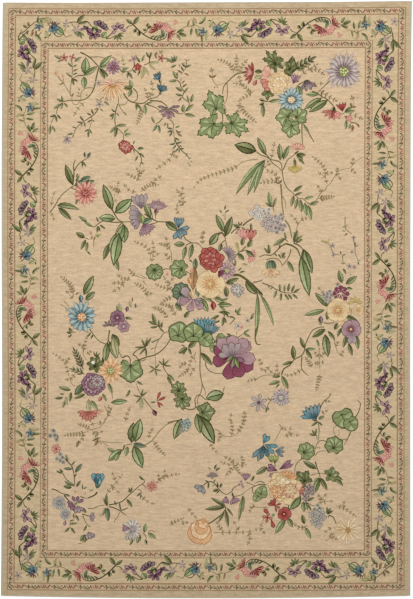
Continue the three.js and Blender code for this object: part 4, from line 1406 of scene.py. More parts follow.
def lower_right(design):
    """A vine with paired leaves, a purple flower with a red heart, a blue iris, lilac stars and
    ivy."""
    stems(design, STEM, [
        (5, 1148, 1526, 1152, 1510, 1160, 1498, 1180, 1486, 1192, 1472, 1202, 1460, 1228, 1448, 1238, 1434,
         1243, 1418, 1245, 1405, 1255, 1378, 1270, 1350, 1285, 1337, 1310, 1330, 1323, 1332),
        (6, 1050, 1325, 1041, 1350, 1040, 1380, 1048, 1400, 1062, 1399),
        (4, 1232, 1450, 1229, 1475, 1230, 1500, 1243, 1516, 1257, 1529),
        (3, 1123, 1618, 1103, 1630, 1090, 1650, 1083, 1675),
        (4, 1308, 1656, 1318, 1638, 1325, 1630, 1338, 1620, 1352, 1602),
        (4, 1448, 1703, 1463, 1680, 1471, 1650, 1468, 1638, 1458, 1630),
    ])
    stems(design, TWIG, [
        (3, 1040, 1545, 1050, 1538, 1075, 1527, 1100, 1525, 1120, 1530),
        (3, 1362, 1380, 1370, 1410, 1380, 1440, 1404, 1454),
        (3, 1302, 1415, 1302, 1450, 1304, 1490, 1306, 1510),
    ])
    ferns(design, [
        (12, 3, 1046, 1540, 1030, 1545, 1012, 1550), (13, 3, 1098, 1490, 1080, 1508, 1066, 1502),
        (13, 2, 1066, 1484, 1058, 1466), (14, 3, 1140, 1530, 1128, 1508, 1128, 1488),
        (13, 2, 1124, 1528, 1106, 1512), (13, 4, 1230, 1503, 1205, 1518, 1180, 1528, 1168, 1526),
        (15, 4, 1272, 1496, 1262, 1476, 1250, 1460), (13, 2, 1300, 1450, 1288, 1438),
        (13, 2, 1306, 1452, 1318, 1440), (15, 5, 1306, 1520, 1300, 1546, 1292, 1580),
        (13, 2, 1368, 1408, 1376, 1396), (13, 2, 1390, 1448, 1398, 1434), (13, 2, 1302, 1478, 1290, 1478),
        (12, 2, 1325, 1632, 1340, 1634), (12, 2, 1312, 1682, 1330, 1674),
    ])
    leaves(design, "dark", [
        (1192, 1470, 1150, 1484), (1242, 1418, 1223, 1370), (1246, 1420, 1273, 1462),
        (1144, 1530, 1108, 1533), (1338, 1346, 1368, 1384), (1392, 1334, 1376, 1372),
        (1416, 1362, 1400, 1416), (1422, 1396, 1438, 1450), (1090, 1655, 1096, 1671),
        (1102, 1630, 1092, 1616), (1172, 1604, 1176, 1588), (1346, 1612, 1344, 1600),
    ])
    leaves(design, "dark", 0.38, [(1198, 1462, 1194, 1404), (1328, 1338, 1272, 1372)])
    leaves(design, "leaf", [
        (1246, 1420, 1288, 1420), (1142, 1550, 1094, 1564), (1140, 1560, 1121, 1578),
        (1104, 1628, 1107, 1614), (1088, 1656, 1082, 1680), (1292, 1380, 1302, 1412),
        (1454, 1362, 1462, 1424), (1314, 1466, 1318, 1484),
    ])
    leaves(design, "leaf", 0.36, [
        (1148, 1528, 1175, 1583), (1326, 1358, 1338, 1454), (1176, 1640, 1182, 1626),
    ])
    flowers(design, [
        (mallow, 1432, 1340, 42, 36, "orchid", "red"), (fan, 1434, 1350, 50, 176, "lilac", 2, 30, 0.44),
        (star, 1054, 1638, 40, 10, "lilac", 6, 0.4), (daisy, 1145, 1618, 38, 0, "lilac", "white", 16),
        (fan, 1290, 1712, 70, -14, "blue", 4, 50, 0.3), (fan, 1286, 1706, 62, -68, "teal_blue", 2, 22, 0.3),
        (leaf, 1298, 1708, 30, 60, "leaf", 0.5),
    ])


def foot_left(design):
    """A blue tulip, a pansy and grey cornflowers on leafy stems, and a white flower below."""
    stems(design, DARK_STEM, [
        (4, 285, 1895, 268, 1878, 253, 1862, 238, 1845), (4, 286, 1896, 294, 1920, 298, 1950, 298, 1980),
        (3, 252, 1930, 263, 1950, 285, 1968, 298, 1983), (6, 392, 2004, 382, 2016, 366, 2024, 352, 2029),
        (4, 205, 1992, 225, 1998, 245, 2010, 262, 2014), (5, 256, 2017, 268, 2032, 278, 2042),
        (4, 322, 2022, 335, 2027, 348, 2029), (4, 330, 2095, 342, 2097, 355, 2102, 364, 2100),
        (4, 440, 2056, 465, 2052, 490, 2044, 505, 2033, 520, 2018, 540, 2000, 556, 1986, 575, 1972, 594,
         1988),
        (4, 440, 2063, 465, 2070, 485, 2080, 500, 2092, 513, 2098),
        (5, 484, 2050, 487, 2072, 495, 2078, 518, 2068), (3, 558, 1992, 572, 2000, 570, 2014),
        (3, 575, 1972, 586, 1962, 583, 1950), (5, 503, 1812, 496, 1832, 470, 1843, 455, 1832),
    ])
    stems(design, STEM, [
        (3, 354, 2072, 380, 2070, 402, 2060, 422, 2059), (3, 333, 2100, 342, 2122, 352, 2138, 366, 2148),
        (3, 288, 2118, 281, 2130, 282, 2150), (3, 343, 2195, 330, 2212, 314, 2216),
        (3, 582, 2170, 592, 2186, 594, 2196),
    ])
    stems(design, TWIG, [
        (3, 425, 1700, 415, 1723, 400, 1740, 362, 1750, 345, 1760), (3, 410, 1795, 450, 1802, 498, 1800),
        (3, 412, 1800, 436, 1816), (4, 535, 1806, 503, 1812),
        (3, 484, 2086, 476, 2106, 464, 2120, 464, 2130), (3, 420, 2086, 416, 2096, 400, 2101),
        (3, 600, 2168, 614, 2160, 630, 2168),
    ])
    ferns(design, [
        (14, 2, 413, 1722, 395, 1720, 372, 1726), (14, 4, 362, 1748, 344, 1735, 322, 1728),
        (15, 6, 346, 1758, 320, 1766, 290, 1768, 266, 1772), (14, 3, 330, 1764, 334, 1782, 318, 1800),
        (14, 4, 370, 1752, 386, 1770, 398, 1788, 404, 1800), (12, 2, 385, 1765, 408, 1757),
        (12, 3, 603, 1784, 606, 1762, 616, 1748), (13, 4, 430, 2015, 450, 1983, 470, 1964, 490, 1938),
        (12, 2, 466, 1956, 456, 1930), (12, 2, 450, 1984, 478, 2003),
        (12, 3, 574, 2020, 600, 2045, 620, 2050),
    ])
    leaves(design, "dark", [
        (286, 1895, 302, 1878), (252, 1928, 222, 1918), (252, 1924, 236, 1908), (306, 1985, 324, 1956),
        (298, 1944, 308, 1926), (258, 2014, 282, 2022), (303, 2098, 318, 2124), (281, 2149, 258, 2170),
        (284, 2149, 303, 2176), (350, 2140, 336, 2166), (354, 2140, 367, 2150), (434, 2062, 418, 2028),
        (512, 2032, 537, 2066), (470, 2058, 462, 2038), (583, 1956, 562, 1936), (530, 2006, 516, 1996),
        (530, 2004, 520, 1984), (532, 2004, 534, 1982), (570, 2006, 553, 2022), (572, 2010, 568, 2032),
        (366, 2002, 376, 1990), (366, 2002, 358, 1992), (227, 1768, 230, 1792), (540, 2196, 526, 2223),
    ])
    leaves(design, "dark", BROAD, [
        (288, 1986, 252, 1980), (344, 2178, 322, 2206), (327, 2068, 348, 2090), (346, 2180, 341, 2212),
    ])
    leaves(design, "leaf", [
        (298, 1978, 256, 1960), (280, 2123, 299, 2119), (281, 2136, 312, 2132), (294, 2092, 297, 2115),
        (332, 1994, 332, 1972), (336, 1993, 350, 1982), (428, 2068, 414, 2100), (394, 1782, 370, 1795),
        (272, 1880, 262, 1850),
    ])
    leaves(design, "leaf", BROAD, [(570, 2178, 555, 2214), (532, 1802, 540, 1718), (590, 2196, 596, 2220)])
    leaves(design, "teal", 0.36, [
        (290, 1910, 252, 1908), (300, 1926, 330, 1887), (434, 2066, 437, 2125), (538, 1806, 594, 1818),
    ])
    leaves(design, "brown", 0.4, [(396, 1788, 380, 1816), (316, 1792, 306, 1822)])
    leaves(design, "fresh", 0.44, [
        (546, 1800, 568, 1702), (540, 1812, 577, 1906), (586, 2170, 592, 2130), (600, 2170, 634, 2194),
        (516, 1816, 508, 1858), (492, 1828, 436, 1876), (462, 1840, 432, 1824), (480, 1842, 466, 1878),
    ])
    leaf(design, (43.4, 206.2), 5.4, -12, "dark", 0.24, 0.14)
    flowers(design, [
        (star, 223, 1828, 22, 20, "coral", 6, 0.7), (fan, 393, 1983, 58, 2, "teal_blue", 3, 40, 0.44),
        (bud, 394, 1982, 52, -3, "blue"), (bud, 392, 1984, 44, 16, "teal_blue", "teal"),
        (star, 302, 2004, 10, 0, "orange", 4, 0.6), (star, 342, 2008, 9, 0, "orange", 3, 0.6),
        (daisy, 236, 2050, 31, 0, "slate", "slate", 16), (daisy, 262, 2096, 27, 0, "slate", "lilac", 12),
        (bud, 262, 2120, 24, 190, "orchid"), (fan, 302, 2052, 34, 232, "magenta", 4, 96, 0.5),
        (fan, 306, 2052, 34, 16, "magenta", 3, 90, 0.44), (fan, 310, 2060, 34, 160, "lilac", 3, 70, 0.46),
        (star, 304, 2052, 12, 0, "lime", 4, 0.7), (fan, 360, 2106, 26, 94, "lilac", 3, 90, 0.62),
        (fan, 356, 2166, 34, 160, "lilac", 3, 60, 0.56), (daisy, 538, 2156, 42, 0, "white", "lilac", 13),
        (fan, 532, 2158, 46, 186, "white", 3, 40, 0.4), (fan, 528, 2152, 36, -86, "orchid", 3, 40, 0.3),
        (daisy, 616, 1980, 27, 12, "coral", "coral", 9), (cluster, 240, 1870, 26, 0, "slate", 5),
        (cluster, 212, 1776, 30, 0, "slate", 4),
    ])


def foot_middle(design):
    """Two great leaves over bare ground, lilac bells and a cream rose on a lance-leaved stem."""
    stems(design, TWIG, [
        (4, 585, 1813, 617, 1791, 648, 1752, 680, 1725, 725, 1711), (4, 777, 1724, 763, 1752, 748, 1752),
        (3, 875, 1746, 890, 1753, 905, 1772, 940, 1776, 965, 1765, 980, 1742),
        (3, 1062, 1972, 1030, 1982, 1004, 1998, 988, 2014),
    ])
    stems(design, DARK_STEM, [
        (4, 828, 1974, 843, 1964, 860, 1961, 874, 1970, 888, 1988, 902, 2003, 922, 2013, 943, 2002),
        (5, 836, 2134, 852, 2131, 870, 2120, 896, 2100, 914, 2080, 920, 2064),
        (3, 943, 2002, 953, 1984, 975, 1973), (3, 948, 2022, 972, 2018, 992, 2009),
        (3, 1004, 1964, 1020, 1970, 1040, 1978),
    ])
    ferns(design, [
        (13, 3, 893, 1756, 896, 1780, 890, 1790), (14, 4, 940, 1776, 946, 1750, 942, 1718),
        (14, 5, 965, 1765, 980, 1740, 994, 1715, 1000, 1690), (12, 3, 855, 1803, 864, 1822, 880, 1838),
        (14, 5, 620, 1795, 634, 1812, 646, 1830, 664, 1848),
        (13, 5, 636, 1968, 650, 1950, 675, 1940, 700, 1932, 722, 1930), (13, 2, 650, 1955, 644, 1938),
        (12, 2, 672, 1942, 668, 1918), (13, 5, 1005, 1890, 980, 1895, 955, 1883, 930, 1892, 905, 1882),
        (14, 3, 952, 1885, 940, 1872, 920, 1862), (13, 3, 988, 1892, 990, 1875, 985, 1862),
        (14, 4, 948, 1892, 965, 1908, 975, 1925), (13, 3, 945, 1900, 935, 1920, 925, 1930),
        (12, 3, 765, 2068, 778, 2088, 796, 2106), (13, 4, 688, 2136, 708, 2126, 724, 2120, 740, 2112),
        (12, 2, 738, 2132, 758, 2128),
        (13, 7, 870, 2168, 910, 2170, 950, 2168, 990, 2168, 1030, 2162, 1058, 2150, 1072, 2122),
        (13, 3, 1010, 2168, 1020, 2190, 1012, 2212), (13, 2, 975, 2160, 962, 2142, 955, 2130),
        (13, 3, 905, 2160, 890, 2142, 885, 2130),
    ])
    leaves(design, "leaf", 0.4, [
        (738, 1700, 706, 1788), (812, 1690, 873, 1808), (800, 1680, 814, 1764), (872, 1912, 882, 1888),
        (876, 1918, 896, 1903), (1090, 1900, 1042, 1932), (1036, 1936, 1022, 1960),
    ])
    leaves(design, "gold", [(860, 1914, 846, 1900)])
    leaves(design, "dark", [
        (850, 1963, 832, 1954), (849, 1963, 846, 1990), (868, 1965, 878, 1950), (874, 1974, 860, 1978),
        (888, 1986, 884, 1962), (894, 1994, 880, 2010), (952, 1984, 966, 1980),
    ])
    leaves(design, "dark", BROAD, [(895, 1986, 904, 1966), (889, 1992, 864, 2000), (950, 2024, 946, 2004)])
    leaves(design, "dark", 0.22, [
        (920, 2062, 857, 2026), (920, 2064, 832, 2074), (922, 2066, 950, 2102), (918, 2074, 930, 2148),
        (914, 2080, 888, 2130),
    ])
    leaves(design, "leaf", 0.14, [(990, 2014, 972, 2124), (994, 2018, 990, 2088)])
    flowers(design, [
        (cluster, 756, 1724, 24, 20, "blue", 9), (cluster, 738, 1752, 15, 70, "slate", 6),
        (thistle, 864, 1944, 28, 0, "purple", 10, 150), (fan, 826, 1974, 38, 216, "slate", 3, 80, 0.5),
        (fan, 1000, 1958, 34, 4, "orchid", 4, 60, 0.36), (cluster, 982, 1974, 18, 0, "orchid", 4),
        (fan, 920, 2018, 34, 184, "orchid", 4, 44, 0.36), (fan, 948, 2022, 34, 158, "orchid", 4, 70, 0.4),
        (rose, 812, 2170, 54, 200, "orange"),
    ])


def foot_right(design):
    """A cream peony with red and blue flowers and purple sweet peas, ivy, and a spidery bloom."""
    stems(design, VINE, [
        (4, 1296, 1715, 1302, 1750, 1298, 1793), (3, 1290, 1770, 1295, 1796),
        (3, 1432, 1756, 1426, 1776, 1410, 1790, 1390, 1790, 1372, 1778, 1362, 1760, 1362, 1744, 1372, 1736),
        (2, 1376, 1776, 1386, 1764, 1380, 1752), (4, 1430, 1760, 1416, 1793, 1402, 1814),
        (4, 1340, 1805, 1320, 1794, 1300, 1798, 1288, 1820, 1283, 1840),
        (2, 1289, 1826, 1300, 1820, 1306, 1828, 1300, 1830), (3, 1286, 1856, 1300, 1840, 1330, 1836),
        (4, 1234, 1866, 1216, 1880, 1204, 1900, 1202, 1925), (3, 1264, 1936, 1303, 1928, 1332, 1932),
    ])
    stems(design, DARK_STEM, [
        (4, 1286, 1880, 1294, 1908, 1303, 1930, 1306, 1945), (3, 1246, 2040, 1255, 2050, 1283, 2063),
        (4, 1118, 1879, 1122, 1900), (4, 1342, 2100, 1358, 2106, 1366, 2120, 1372, 2135, 1390, 2146),
        (3, 1078, 1966, 1060, 1960, 1036, 1968), (4, 1084, 1974, 1060, 1972, 1030, 1983),
        (3, 1028, 1984, 1030, 2004, 1042, 2012), (3, 1244, 2146, 1225, 2150, 1206, 2140),
    ])
    stems(design, TWIG, [
        (3, 1138, 1726, 1146, 1740, 1136, 1765, 1118, 1796),
        (3, 1090, 2064, 1070, 2068, 1050, 2066, 1032, 2062),
    ])
    ferns(design, [
        (13, 3, 1160, 1775, 1178, 1768, 1184, 1745), (12, 2, 1178, 1768, 1212, 1772),
        (12, 2, 1146, 1742, 1160, 1746), (12, 3, 1040, 2066, 1025, 2062, 1018, 2080),
        (13, 2, 1060, 2150, 1075, 2168), (14, 3, 1244, 2148, 1222, 2150, 1204, 2138),
        (13, 3, 1310, 2056, 1306, 2036, 1300, 2020), (13, 2, 1308, 2038, 1326, 2018),
        (12, 2, 1316, 2046, 1352, 2042), (13, 5, 1370, 2062, 1400, 2070, 1425, 2085, 1448, 2102),
        (12, 2, 1402, 2068, 1404, 2050), (12, 2, 1352, 2150, 1330, 2166),
        (13, 3, 1352, 2170, 1356, 2184, 1372, 2196), (12, 1, 1354, 2184, 1336, 2200),
    ])
    leaves(design, "dark", [
        (1290, 1775, 1272, 1750), (1288, 1774, 1260, 1766), (1289, 1768, 1290, 1745),
        (1292, 1910, 1235, 1878), (1306, 1945, 1336, 1998), (1256, 2055, 1270, 2082),
        (1362, 1940, 1401, 1980), (1355, 1936, 1400, 1956), (1296, 1716, 1268, 1736),
        (1296, 1713, 1270, 1708), (1298, 1718, 1316, 1734), (1250, 2042, 1284, 2026),
        (1338, 2096, 1334, 2064), (1338, 2096, 1350, 2068), (1338, 2096, 1360, 2080),
        (1338, 2096, 1328, 2086), (1340, 2098, 1342, 2114), (1242, 2145, 1254, 2140),
        (1162, 2046, 1172, 2042),
    ])
    leaves(design, "leaf", BROAD, [
        (1300, 1945, 1279, 1974), (1238, 2042, 1240, 2086), (1248, 2044, 1254, 2078),
        (1175, 2110, 1193, 2148),
    ])
    leaves(design, "leaf", [(1304, 1945, 1276, 2018), (1110, 1884, 1094, 1864), (1120, 1886, 1136, 1860)])
    leaves(design, "fresh", 0.36, [(1164, 2112, 1122, 2174), (1244, 2148, 1269, 2196)])
    leaves(design, "dark", 0.42, [(1242, 2137, 1232, 2096)])
    leaves(design, "fresh", 0.62, [(1224, 2010, 1176, 2078)])
    flowers(design, [
        (lobed_leaf, 1400, 1702, 44, 160, "fresh", 3, 0.06, 0.3),
        (lobed_leaf, 1432, 1726, 32, 150, "fresh", 3, 0.04, 0.3),
        (lobed_leaf, 1363, 1815, 38, 10, "fresh", 7, 0.07, 0.3),
        (lobed_leaf, 1248, 1838, 36, 60, "fresh", 7, 0.07, 0.3),
        (lobed_leaf, 1236, 1952, 34, -40, "dark", 5, 0.2, 0.2),
        (lobed_leaf, 1352, 1934, 28, 80, "leaf", 5, 0.2, 0.2),
        (lobed_leaf, 1066, 2004, 26, 20, "fresh", 3, 0.1, 0.2),
        (lobed_leaf, 1048, 2024, 20, 220, "fresh", 3, 0.1, 0.2),
        (fan, 1072, 1808, 44, 26, "teal_blue", 2, 30, 0.4), (fan, 1074, 1812, 68, 212, "blue", 2, 24, 0.3),
        (fan, 1072, 1808, 60, 172, "navy", 2, 30), (fan, 1076, 1808, 58, 118, "teal_blue", 2, 34),
        (fan, 1120, 1836, 42, 96, "blue", 3, 60, 0.3), (fan, 1116, 1882, 34, -6, "lime", 4, 80),
        (fan, 1132, 1918, 48, -66, "magenta", 2, 24, 0.4), (fan, 1134, 1922, 40, 226, "orchid", 2, 40, 0.5),
        (fan, 1136, 1912, 62, 62, "magenta", 2, 18, 0.3), (cluster, 1262, 1996, 26, 0, "purple", 11),
        (cluster, 1246, 2024, 20, 40, "purple", 8), (fan, 1212, 1990, 34, 110, "coral", 4, 100, 0.44),
        (peony, 1156, 1984, 72, 0, "cream", 1), (fan, 1174, 1950, 38, 20, "orange", 5, 120, 0.44),
        (peony, 1130, 2004, 40, 40, "cream", 1, "orange"), (peony, 1182, 1996, 34, 80, "peach", 1, "cream"),
        (fan, 1122, 2060, 32, -40, "red", 3, 70, 0.44), (fan, 1120, 2058, 28, 120, "red", 3, 90, 0.4),
        (fan, 1102, 2100, 38, -44, "red", 1, 20, 0.5), (star, 1090, 2108, 24, 10, "red", 4, 0.6),
        (fan, 1104, 2112, 40, 162, "red", 1, 20, 0.46), (star, 1114, 2098, 12, 0, "lime", 4, 0.8),
        (mallow, 1158, 2094, 30, 20, "red", "red"), (cluster, 1296, 2076, 24, 0, "slate", 5),
        (cluster, 1294, 2112, 40, 30, "slate", 8), (spider, 1420, 2162, 54, 0, "cream", 15, 336, 0.2),
        (fan, 1404, 2160, 46, -76, "cream", 3, 60, 0.26),
    ])


# The cloth


def cloth_outline():
    """The cloth's edge, along the middle of its edging, counter-clockwise from the foot's left."""
    across_limit = 1 - SIDE_EDGING_WIDTH / 2 / HALF_WIDTH
    along_limit = 1 - END_EDGING_WIDTH / 2 / HALF_LENGTH
    across, along = STEPS_ACROSS * across_limit, STEPS_ALONG * along_limit
    foot = rug_point(across, np.full_like(across, -along_limit))
    right = rug_point(np.full_like(along, across_limit), along)
    head = rug_point(across[::-1], np.full_like(across, along_limit))
    left = rug_point(np.full_like(along, -across_limit), along[::-1])
    return np.concatenate([side[:-1] for side in (foot, right, head, left)])


def half_edges(face):
    """Each triangle's three directed edges, and one number that stands for each edge and for
    the same edge the other way."""
    ends = np.concatenate([face[:, [0, 1]], face[:, [1, 2]], face[:, [2, 0]]])
    scale = int(face.max()) + 1
    return ends, ends[:, 0] * scale + ends[:, 1], ends[:, 1] * scale + ends[:, 0]


def matching(keys, wanted):
    """The index in keys of each wanted number, or -1 where there is none."""
    order = np.argsort(keys)
    found = order[np.searchsorted(keys, wanted, sorter=order).clip(0, len(keys) - 1)]
    return np.where(keys[found] == wanted, found, -1)


def visible_edges(points, face, top):
    """The directed edges where the outline on top changes, with the top one to their left.
    A run of edges in one straight line becomes one edge: each edge points at the next one in
    its line, and the pointers are followed in doubling steps to the line's end."""
    ends, keys, backwards = half_edges(face)
    left = np.tile(top, 3)
    other = matching(keys, backwards)
    shown = (other < 0) | (left != left[other])
    ends, left = ends[shown], left[shown]
    order = np.argsort(ends[:, 0], kind="stable")
    ends, left = ends[order], left[order]

    first = np.searchsorted(ends[:, 0], np.arange(len(points)))
    leaving = np.bincount(ends[:, 0], minlength=len(points))
    run = points[ends[:, 1]] - points[ends[:, 0]]
    run /= np.linalg.norm(run, axis=1, keepdims=True)
    turning = np.stack([np.bincount(ends[:, 0], run[:, axis], len(points)) for axis in (0, 1)], axis=1)
    arriving = np.bincount(ends[:, 1], minlength=len(points))
    straight = (leaving == 2) & (arriving == 2) & (np.abs(turning).max(axis=1) < 1e-4)

    tail, tip = ends[:, 0], ends[:, 1]
    onwards = first[tip].clip(0, len(ends) - 2)
    onwards = np.where(tip[onwards] == tail, onwards + 1, onwards)
    following = np.where(straight[tip], onwards, np.arange(len(ends)))
    for _ in range(8):
        following = following[following]
    starts = ~straight[tail]
    return np.stack([tail[starts], tip[following[starts]]], axis=1), left[starts]


def spread_labels(face, edges, labels):
    """Each triangle's label: that of an edge which it has on its left, or else its neighbour's,
    passed on until every triangle inside the edges has one."""
    ends, keys, backwards = half_edges(face)
    scale = int(face.max()) + 1
    edge_keys = edges[:, 0] * scale + edges[:, 1]
    on_edge = matching(edge_keys, keys)
    owner = np.tile(np.arange(len(face)), 3)
    label = np.full(len(face), -1)
    np.maximum.at(label, owner[on_edge >= 0], labels[on_edge[on_edge >= 0]])
    neighbour = matching(keys, backwards)
    open_sides = (on_edge < 0) & (neighbour >= 0)
    here, there = owner[open_sides], owner[neighbour[open_sides]]
    while True:
        before = label.copy()
        np.maximum.at(label, here, label[there])
        if (label == before).all():
            return label


def woven_face(design):
    """The cloth's face as triangles, each with the outline that shows there. All the outlines
    are triangulated together and the last laid wins, then only the edges that show are
    triangulated again."""
    points, faces = [], []
    for outline in design.outlines:
        faces.append(list(range(len(points), len(points) + len(outline))))
        points.extend(Vector(point) for point in outline.tolist())
    verts, _, face, _, _, sources = delaunay_2d_cdt(points, [], faces, 1, 1e-6, True)
    points = np.array([tuple(vert) for vert in verts])
    on_cloth = [0 in over for over in sources]
    top = np.array([max(over) for over in sources if 0 in over])
    edges, labels = visible_edges(points, np.array(face)[on_cloth], top)

    used, numbers = np.unique(edges, return_inverse=True)
    numbers = numbers.reshape(edges.shape)
    kept = [Vector(point) for point in points[used].tolist()]
    verts, _, face, origins, _, _ = delaunay_2d_cdt(kept, numbers.tolist(), [], 1, 1e-7, True)
    renumbered = np.zeros(len(used), int)
    for place, origin in enumerate(origins):
        renumbered[origin] = place
    face = np.array(face)
    top = spread_labels(face, renumbered[numbers], labels)
    inside = top >= 0
    return np.array([tuple(vert) for vert in verts]), face[inside], top[inside]


def woven_dyes(design, corners, top):
    """The dye at each triangle's corners, by how far along its outline's gradient it is."""
    near, far, start, end = (np.array(column)[top] for column in zip(*design.gradients))
    run = end - start
    share = ((corners - start[:, None]) * run[:, None]).sum(-1) / (run**2).sum(-1)[:, None]
    share = share.clip(0, 1)[..., None]
    return near[:, None] * (1 - share) + far[:, None] * share


# How the sheet's picture is laid out in its OFBake UV map: its face, and beside it its back and its rim
FACE_UV = (0.01, 0.80)
BACK_UV = (0.82, 0.99)
PICTURE_EDGE = 0.01
PICTURE_SPAN = 0.98
PICTURE_ROOM = 1.02


def woven_sheet(name, design):
    """The cloth as one closed sheet: its face, a rim that drops to the floor and a flat back."""
    flat, face, top = woven_face(design)
    ends, keys, backwards = half_edges(face)
    rim = ends[matching(keys, backwards) < 0]
    rim_points = np.unique(rim)
    below = np.zeros(len(flat), int)
    below[rim_points] = len(flat) + np.arange(len(rim_points))
    centre = len(flat) + len(rim_points)
    points = np.zeros((centre + 1, 3))
    points[: len(flat), :2] = flat
    points[: len(flat), 2] = CLOTH_THICKNESS
    points[len(flat) : centre, :2] = flat[rim_points]
    a, b = rim[:, 0], rim[:, 1]
    wall = np.concatenate([np.stack([b, a, below[a]], 1), np.stack([b, below[a], below[b]], 1)])
    back = np.stack([np.full(len(rim), centre), below[b], below[a]], 1)
    faces = np.concatenate([face, wall, back])

    mesh = bpy.data.meshes.new(name)
    mesh.from_pydata(points.tolist(), [], faces.tolist())
    colours = np.ones((len(faces), 3, 4), np.float32)
    colours[..., :3] = linear(BACK_GROUND)
    colours[: len(face), :, :3] = woven_dyes(design, flat[face], top)
    dye = mesh.color_attributes.new("dye", "FLOAT_COLOR", "CORNER")
    dye.data.foreach_set("color", colours.ravel())

    share = points[faces][..., :2] / (RUG_WIDTH * PICTURE_ROOM, RUG_LENGTH * PICTURE_ROOM) + 0.5
    spans = np.array([BACK_UV] * len(faces))
    spans[: len(face)] = FACE_UV
    u = spans[:, :1] + share[..., 0] * (spans[:, 1:] - spans[:, :1])
    v = PICTURE_EDGE + share[..., 1] * PICTURE_SPAN
    places = np.stack([u, v], axis=-1)
    mesh.uv_layers.new(name="OFBake").data.foreach_set("uv", places.astype(np.float32).ravel())
    return finished_piece(name, mesh, "rug_cloth")


def finished_piece(name, mesh, *nodes):
    """A mesh as a piece that rides on the rug in the place of the named solids."""
    piece = bpy.data.objects.new(name, mesh)
    bpy.context.scene.collection.objects.link(piece)
    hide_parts(*nodes)
    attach(piece, "root")
    return piece


# The overcast edging: yarn wound round the cloth's edge, each turn leaning the same way
WRAP_PITCH = 0.005
WRAP_LEAN = 0.45
WRAP_DEPTH = 0.16
WRAP_POWER = 0.6
STATIONS_PER_WRAP = 5
SECTION_STEPS = 12
SECTION_SQUARENESS = 0.75
CAP_STATIONS = 3


def edging_mesh(name, outer, inner):
    """A bar between an outer and an inner line of points. Its section is a flattened round:
    the sine and cosine, each to the power of the squareness. The section swells and draws in
    along the bar as a power of a sine, once a turn of yarn, a little later round the section,
    and it closes to a point over the last stations at each end."""
    middle = (outer + inner) / 2
    stations = len(middle)
    step = np.linalg.norm(np.diff(middle, axis=0), axis=1)
    distance = np.concatenate([[0], np.cumsum(step)])[:, None]
    angle = np.linspace(0, 2 * np.pi, SECTION_STEPS, endpoint=False)[None]
    aside = np.sign(np.cos(angle)) * np.abs(np.cos(angle)) ** SECTION_SQUARENESS
    upright = np.sign(np.sin(angle)) * np.abs(np.sin(angle)) ** SECTION_SQUARENESS
    lean = WRAP_LEAN * np.cos(angle)
    turn = np.abs(np.sin(np.pi * (distance / WRAP_PITCH + lean))) ** WRAP_POWER
    from_end = np.minimum(np.arange(stations), np.arange(stations)[::-1])[:, None] / CAP_STATIONS
    cap = np.sqrt(1 - (1 - from_end.clip(0, 1)) ** 2)
    size = (1 - WRAP_DEPTH * (1 - turn)) * cap
    spread = middle[:, None] + (outer - middle)[:, None] * (aside * size)[..., None]
    height = EDGING_HEIGHT / 2 * (1 + upright * size)
    points = np.concatenate([spread, height[..., None]], axis=-1).reshape(-1, 3)

    row = np.arange(stations - 1)[:, None] * SECTION_STEPS
    next_row = row + SECTION_STEPS
    column = np.arange(SECTION_STEPS)[None]
    onwards = (column + 1) % SECTION_STEPS
    quads = np.stack([row + column, row + onwards, next_row + onwards, next_row + column], axis=-1)
    mesh = bpy.data.meshes.new(name)
    mesh.from_pydata(points.tolist(), [], quads.reshape(-1, 4).tolist())
    return mesh


# How an edging's picture is folded in its OFBake UV map: short rows of the bar, one above another
EDGING_ROWS = 10
ROW_FOOT = 0.04
ROW_HEIGHT = 0.92


def fold_edging(mesh, stations):
    """The bar's faces as rows of equal length: along the row by station, up it by section."""
    per_row = -(-(stations - 1) // EDGING_ROWS)
    station = np.repeat(np.arange(stations - 1), SECTION_STEPS)[:, None]
    section = np.tile(np.arange(SECTION_STEPS), stations - 1)[:, None]
    u = (station % per_row + np.array([0, 0, 1, 1])) / per_row
    up = (section + np.array([0, 1, 1, 0])) / SECTION_STEPS
    v = (station // per_row + ROW_FOOT + ROW_HEIGHT * up) / EDGING_ROWS
    places = PICTURE_EDGE + PICTURE_SPAN * np.stack([u, v], axis=-1)
    mesh.uv_layers.new(name="OFBake").data.foreach_set("uv", places.astype(np.float32).ravel())


def side_edging(name, side, node):
    """The edging of one long side, from end to end, wound the other way round on the right."""
    stations = round(RUG_LENGTH / WRAP_PITCH) * STATIONS_PER_WRAP
    along = np.linspace(side, -side, stations)
    outer = rug_point(np.full_like(along, side), along)
    inner = rug_point(np.full_like(along, side * (1 - SIDE_EDGING_WIDTH / HALF_WIDTH)), along)
    mesh = edging_mesh(name, outer, inner)
    fold_edging(mesh, stations)
    return finished_piece(name, mesh, node)


def end_edging(name, end, node):
    """The edging of one end, between the two long sides."""
    stations = round(RUG_WIDTH / WRAP_PITCH) * STATIONS_PER_WRAP
    reach = 1 - (SIDE_EDGING_WIDTH + PIECE_GAP) / HALF_WIDTH
    across = np.linspace(-end * reach, end * reach, stations)
    outer = rug_point(across, np.full_like(across, end))
    inner = rug_point(across, np.full_like(across, end * (1 - END_EDGING_WIDTH / HALF_LENGTH)))
    mesh = edging_mesh(name, outer, inner)
    fold_edging(mesh, stations)
    return finished_piece(name, mesh, node)


# Finishes


class Socket:
    """A socket of a finish, on which +, - and * add a Math node."""

    def __init__(self, finish, socket):
        self.finish = finish
        self.socket = socket

    def math(self, operation, first, second):
        """A Math node of two values."""
        return self.finish.node("Math", {"operation": operation}, {0: first, 1: second})

    def __add__(self, other):
        return self.math("ADD", self, other)

    __radd__ = __add__

    def __sub__(self, other):
        return self.math("SUBTRACT", self, other)

    def __rsub__(self, other):
        return self.math("SUBTRACT", other, self)

    def __mul__(self, other):
        return self.math("MULTIPLY", self, other)

    __rmul__ = __mul__


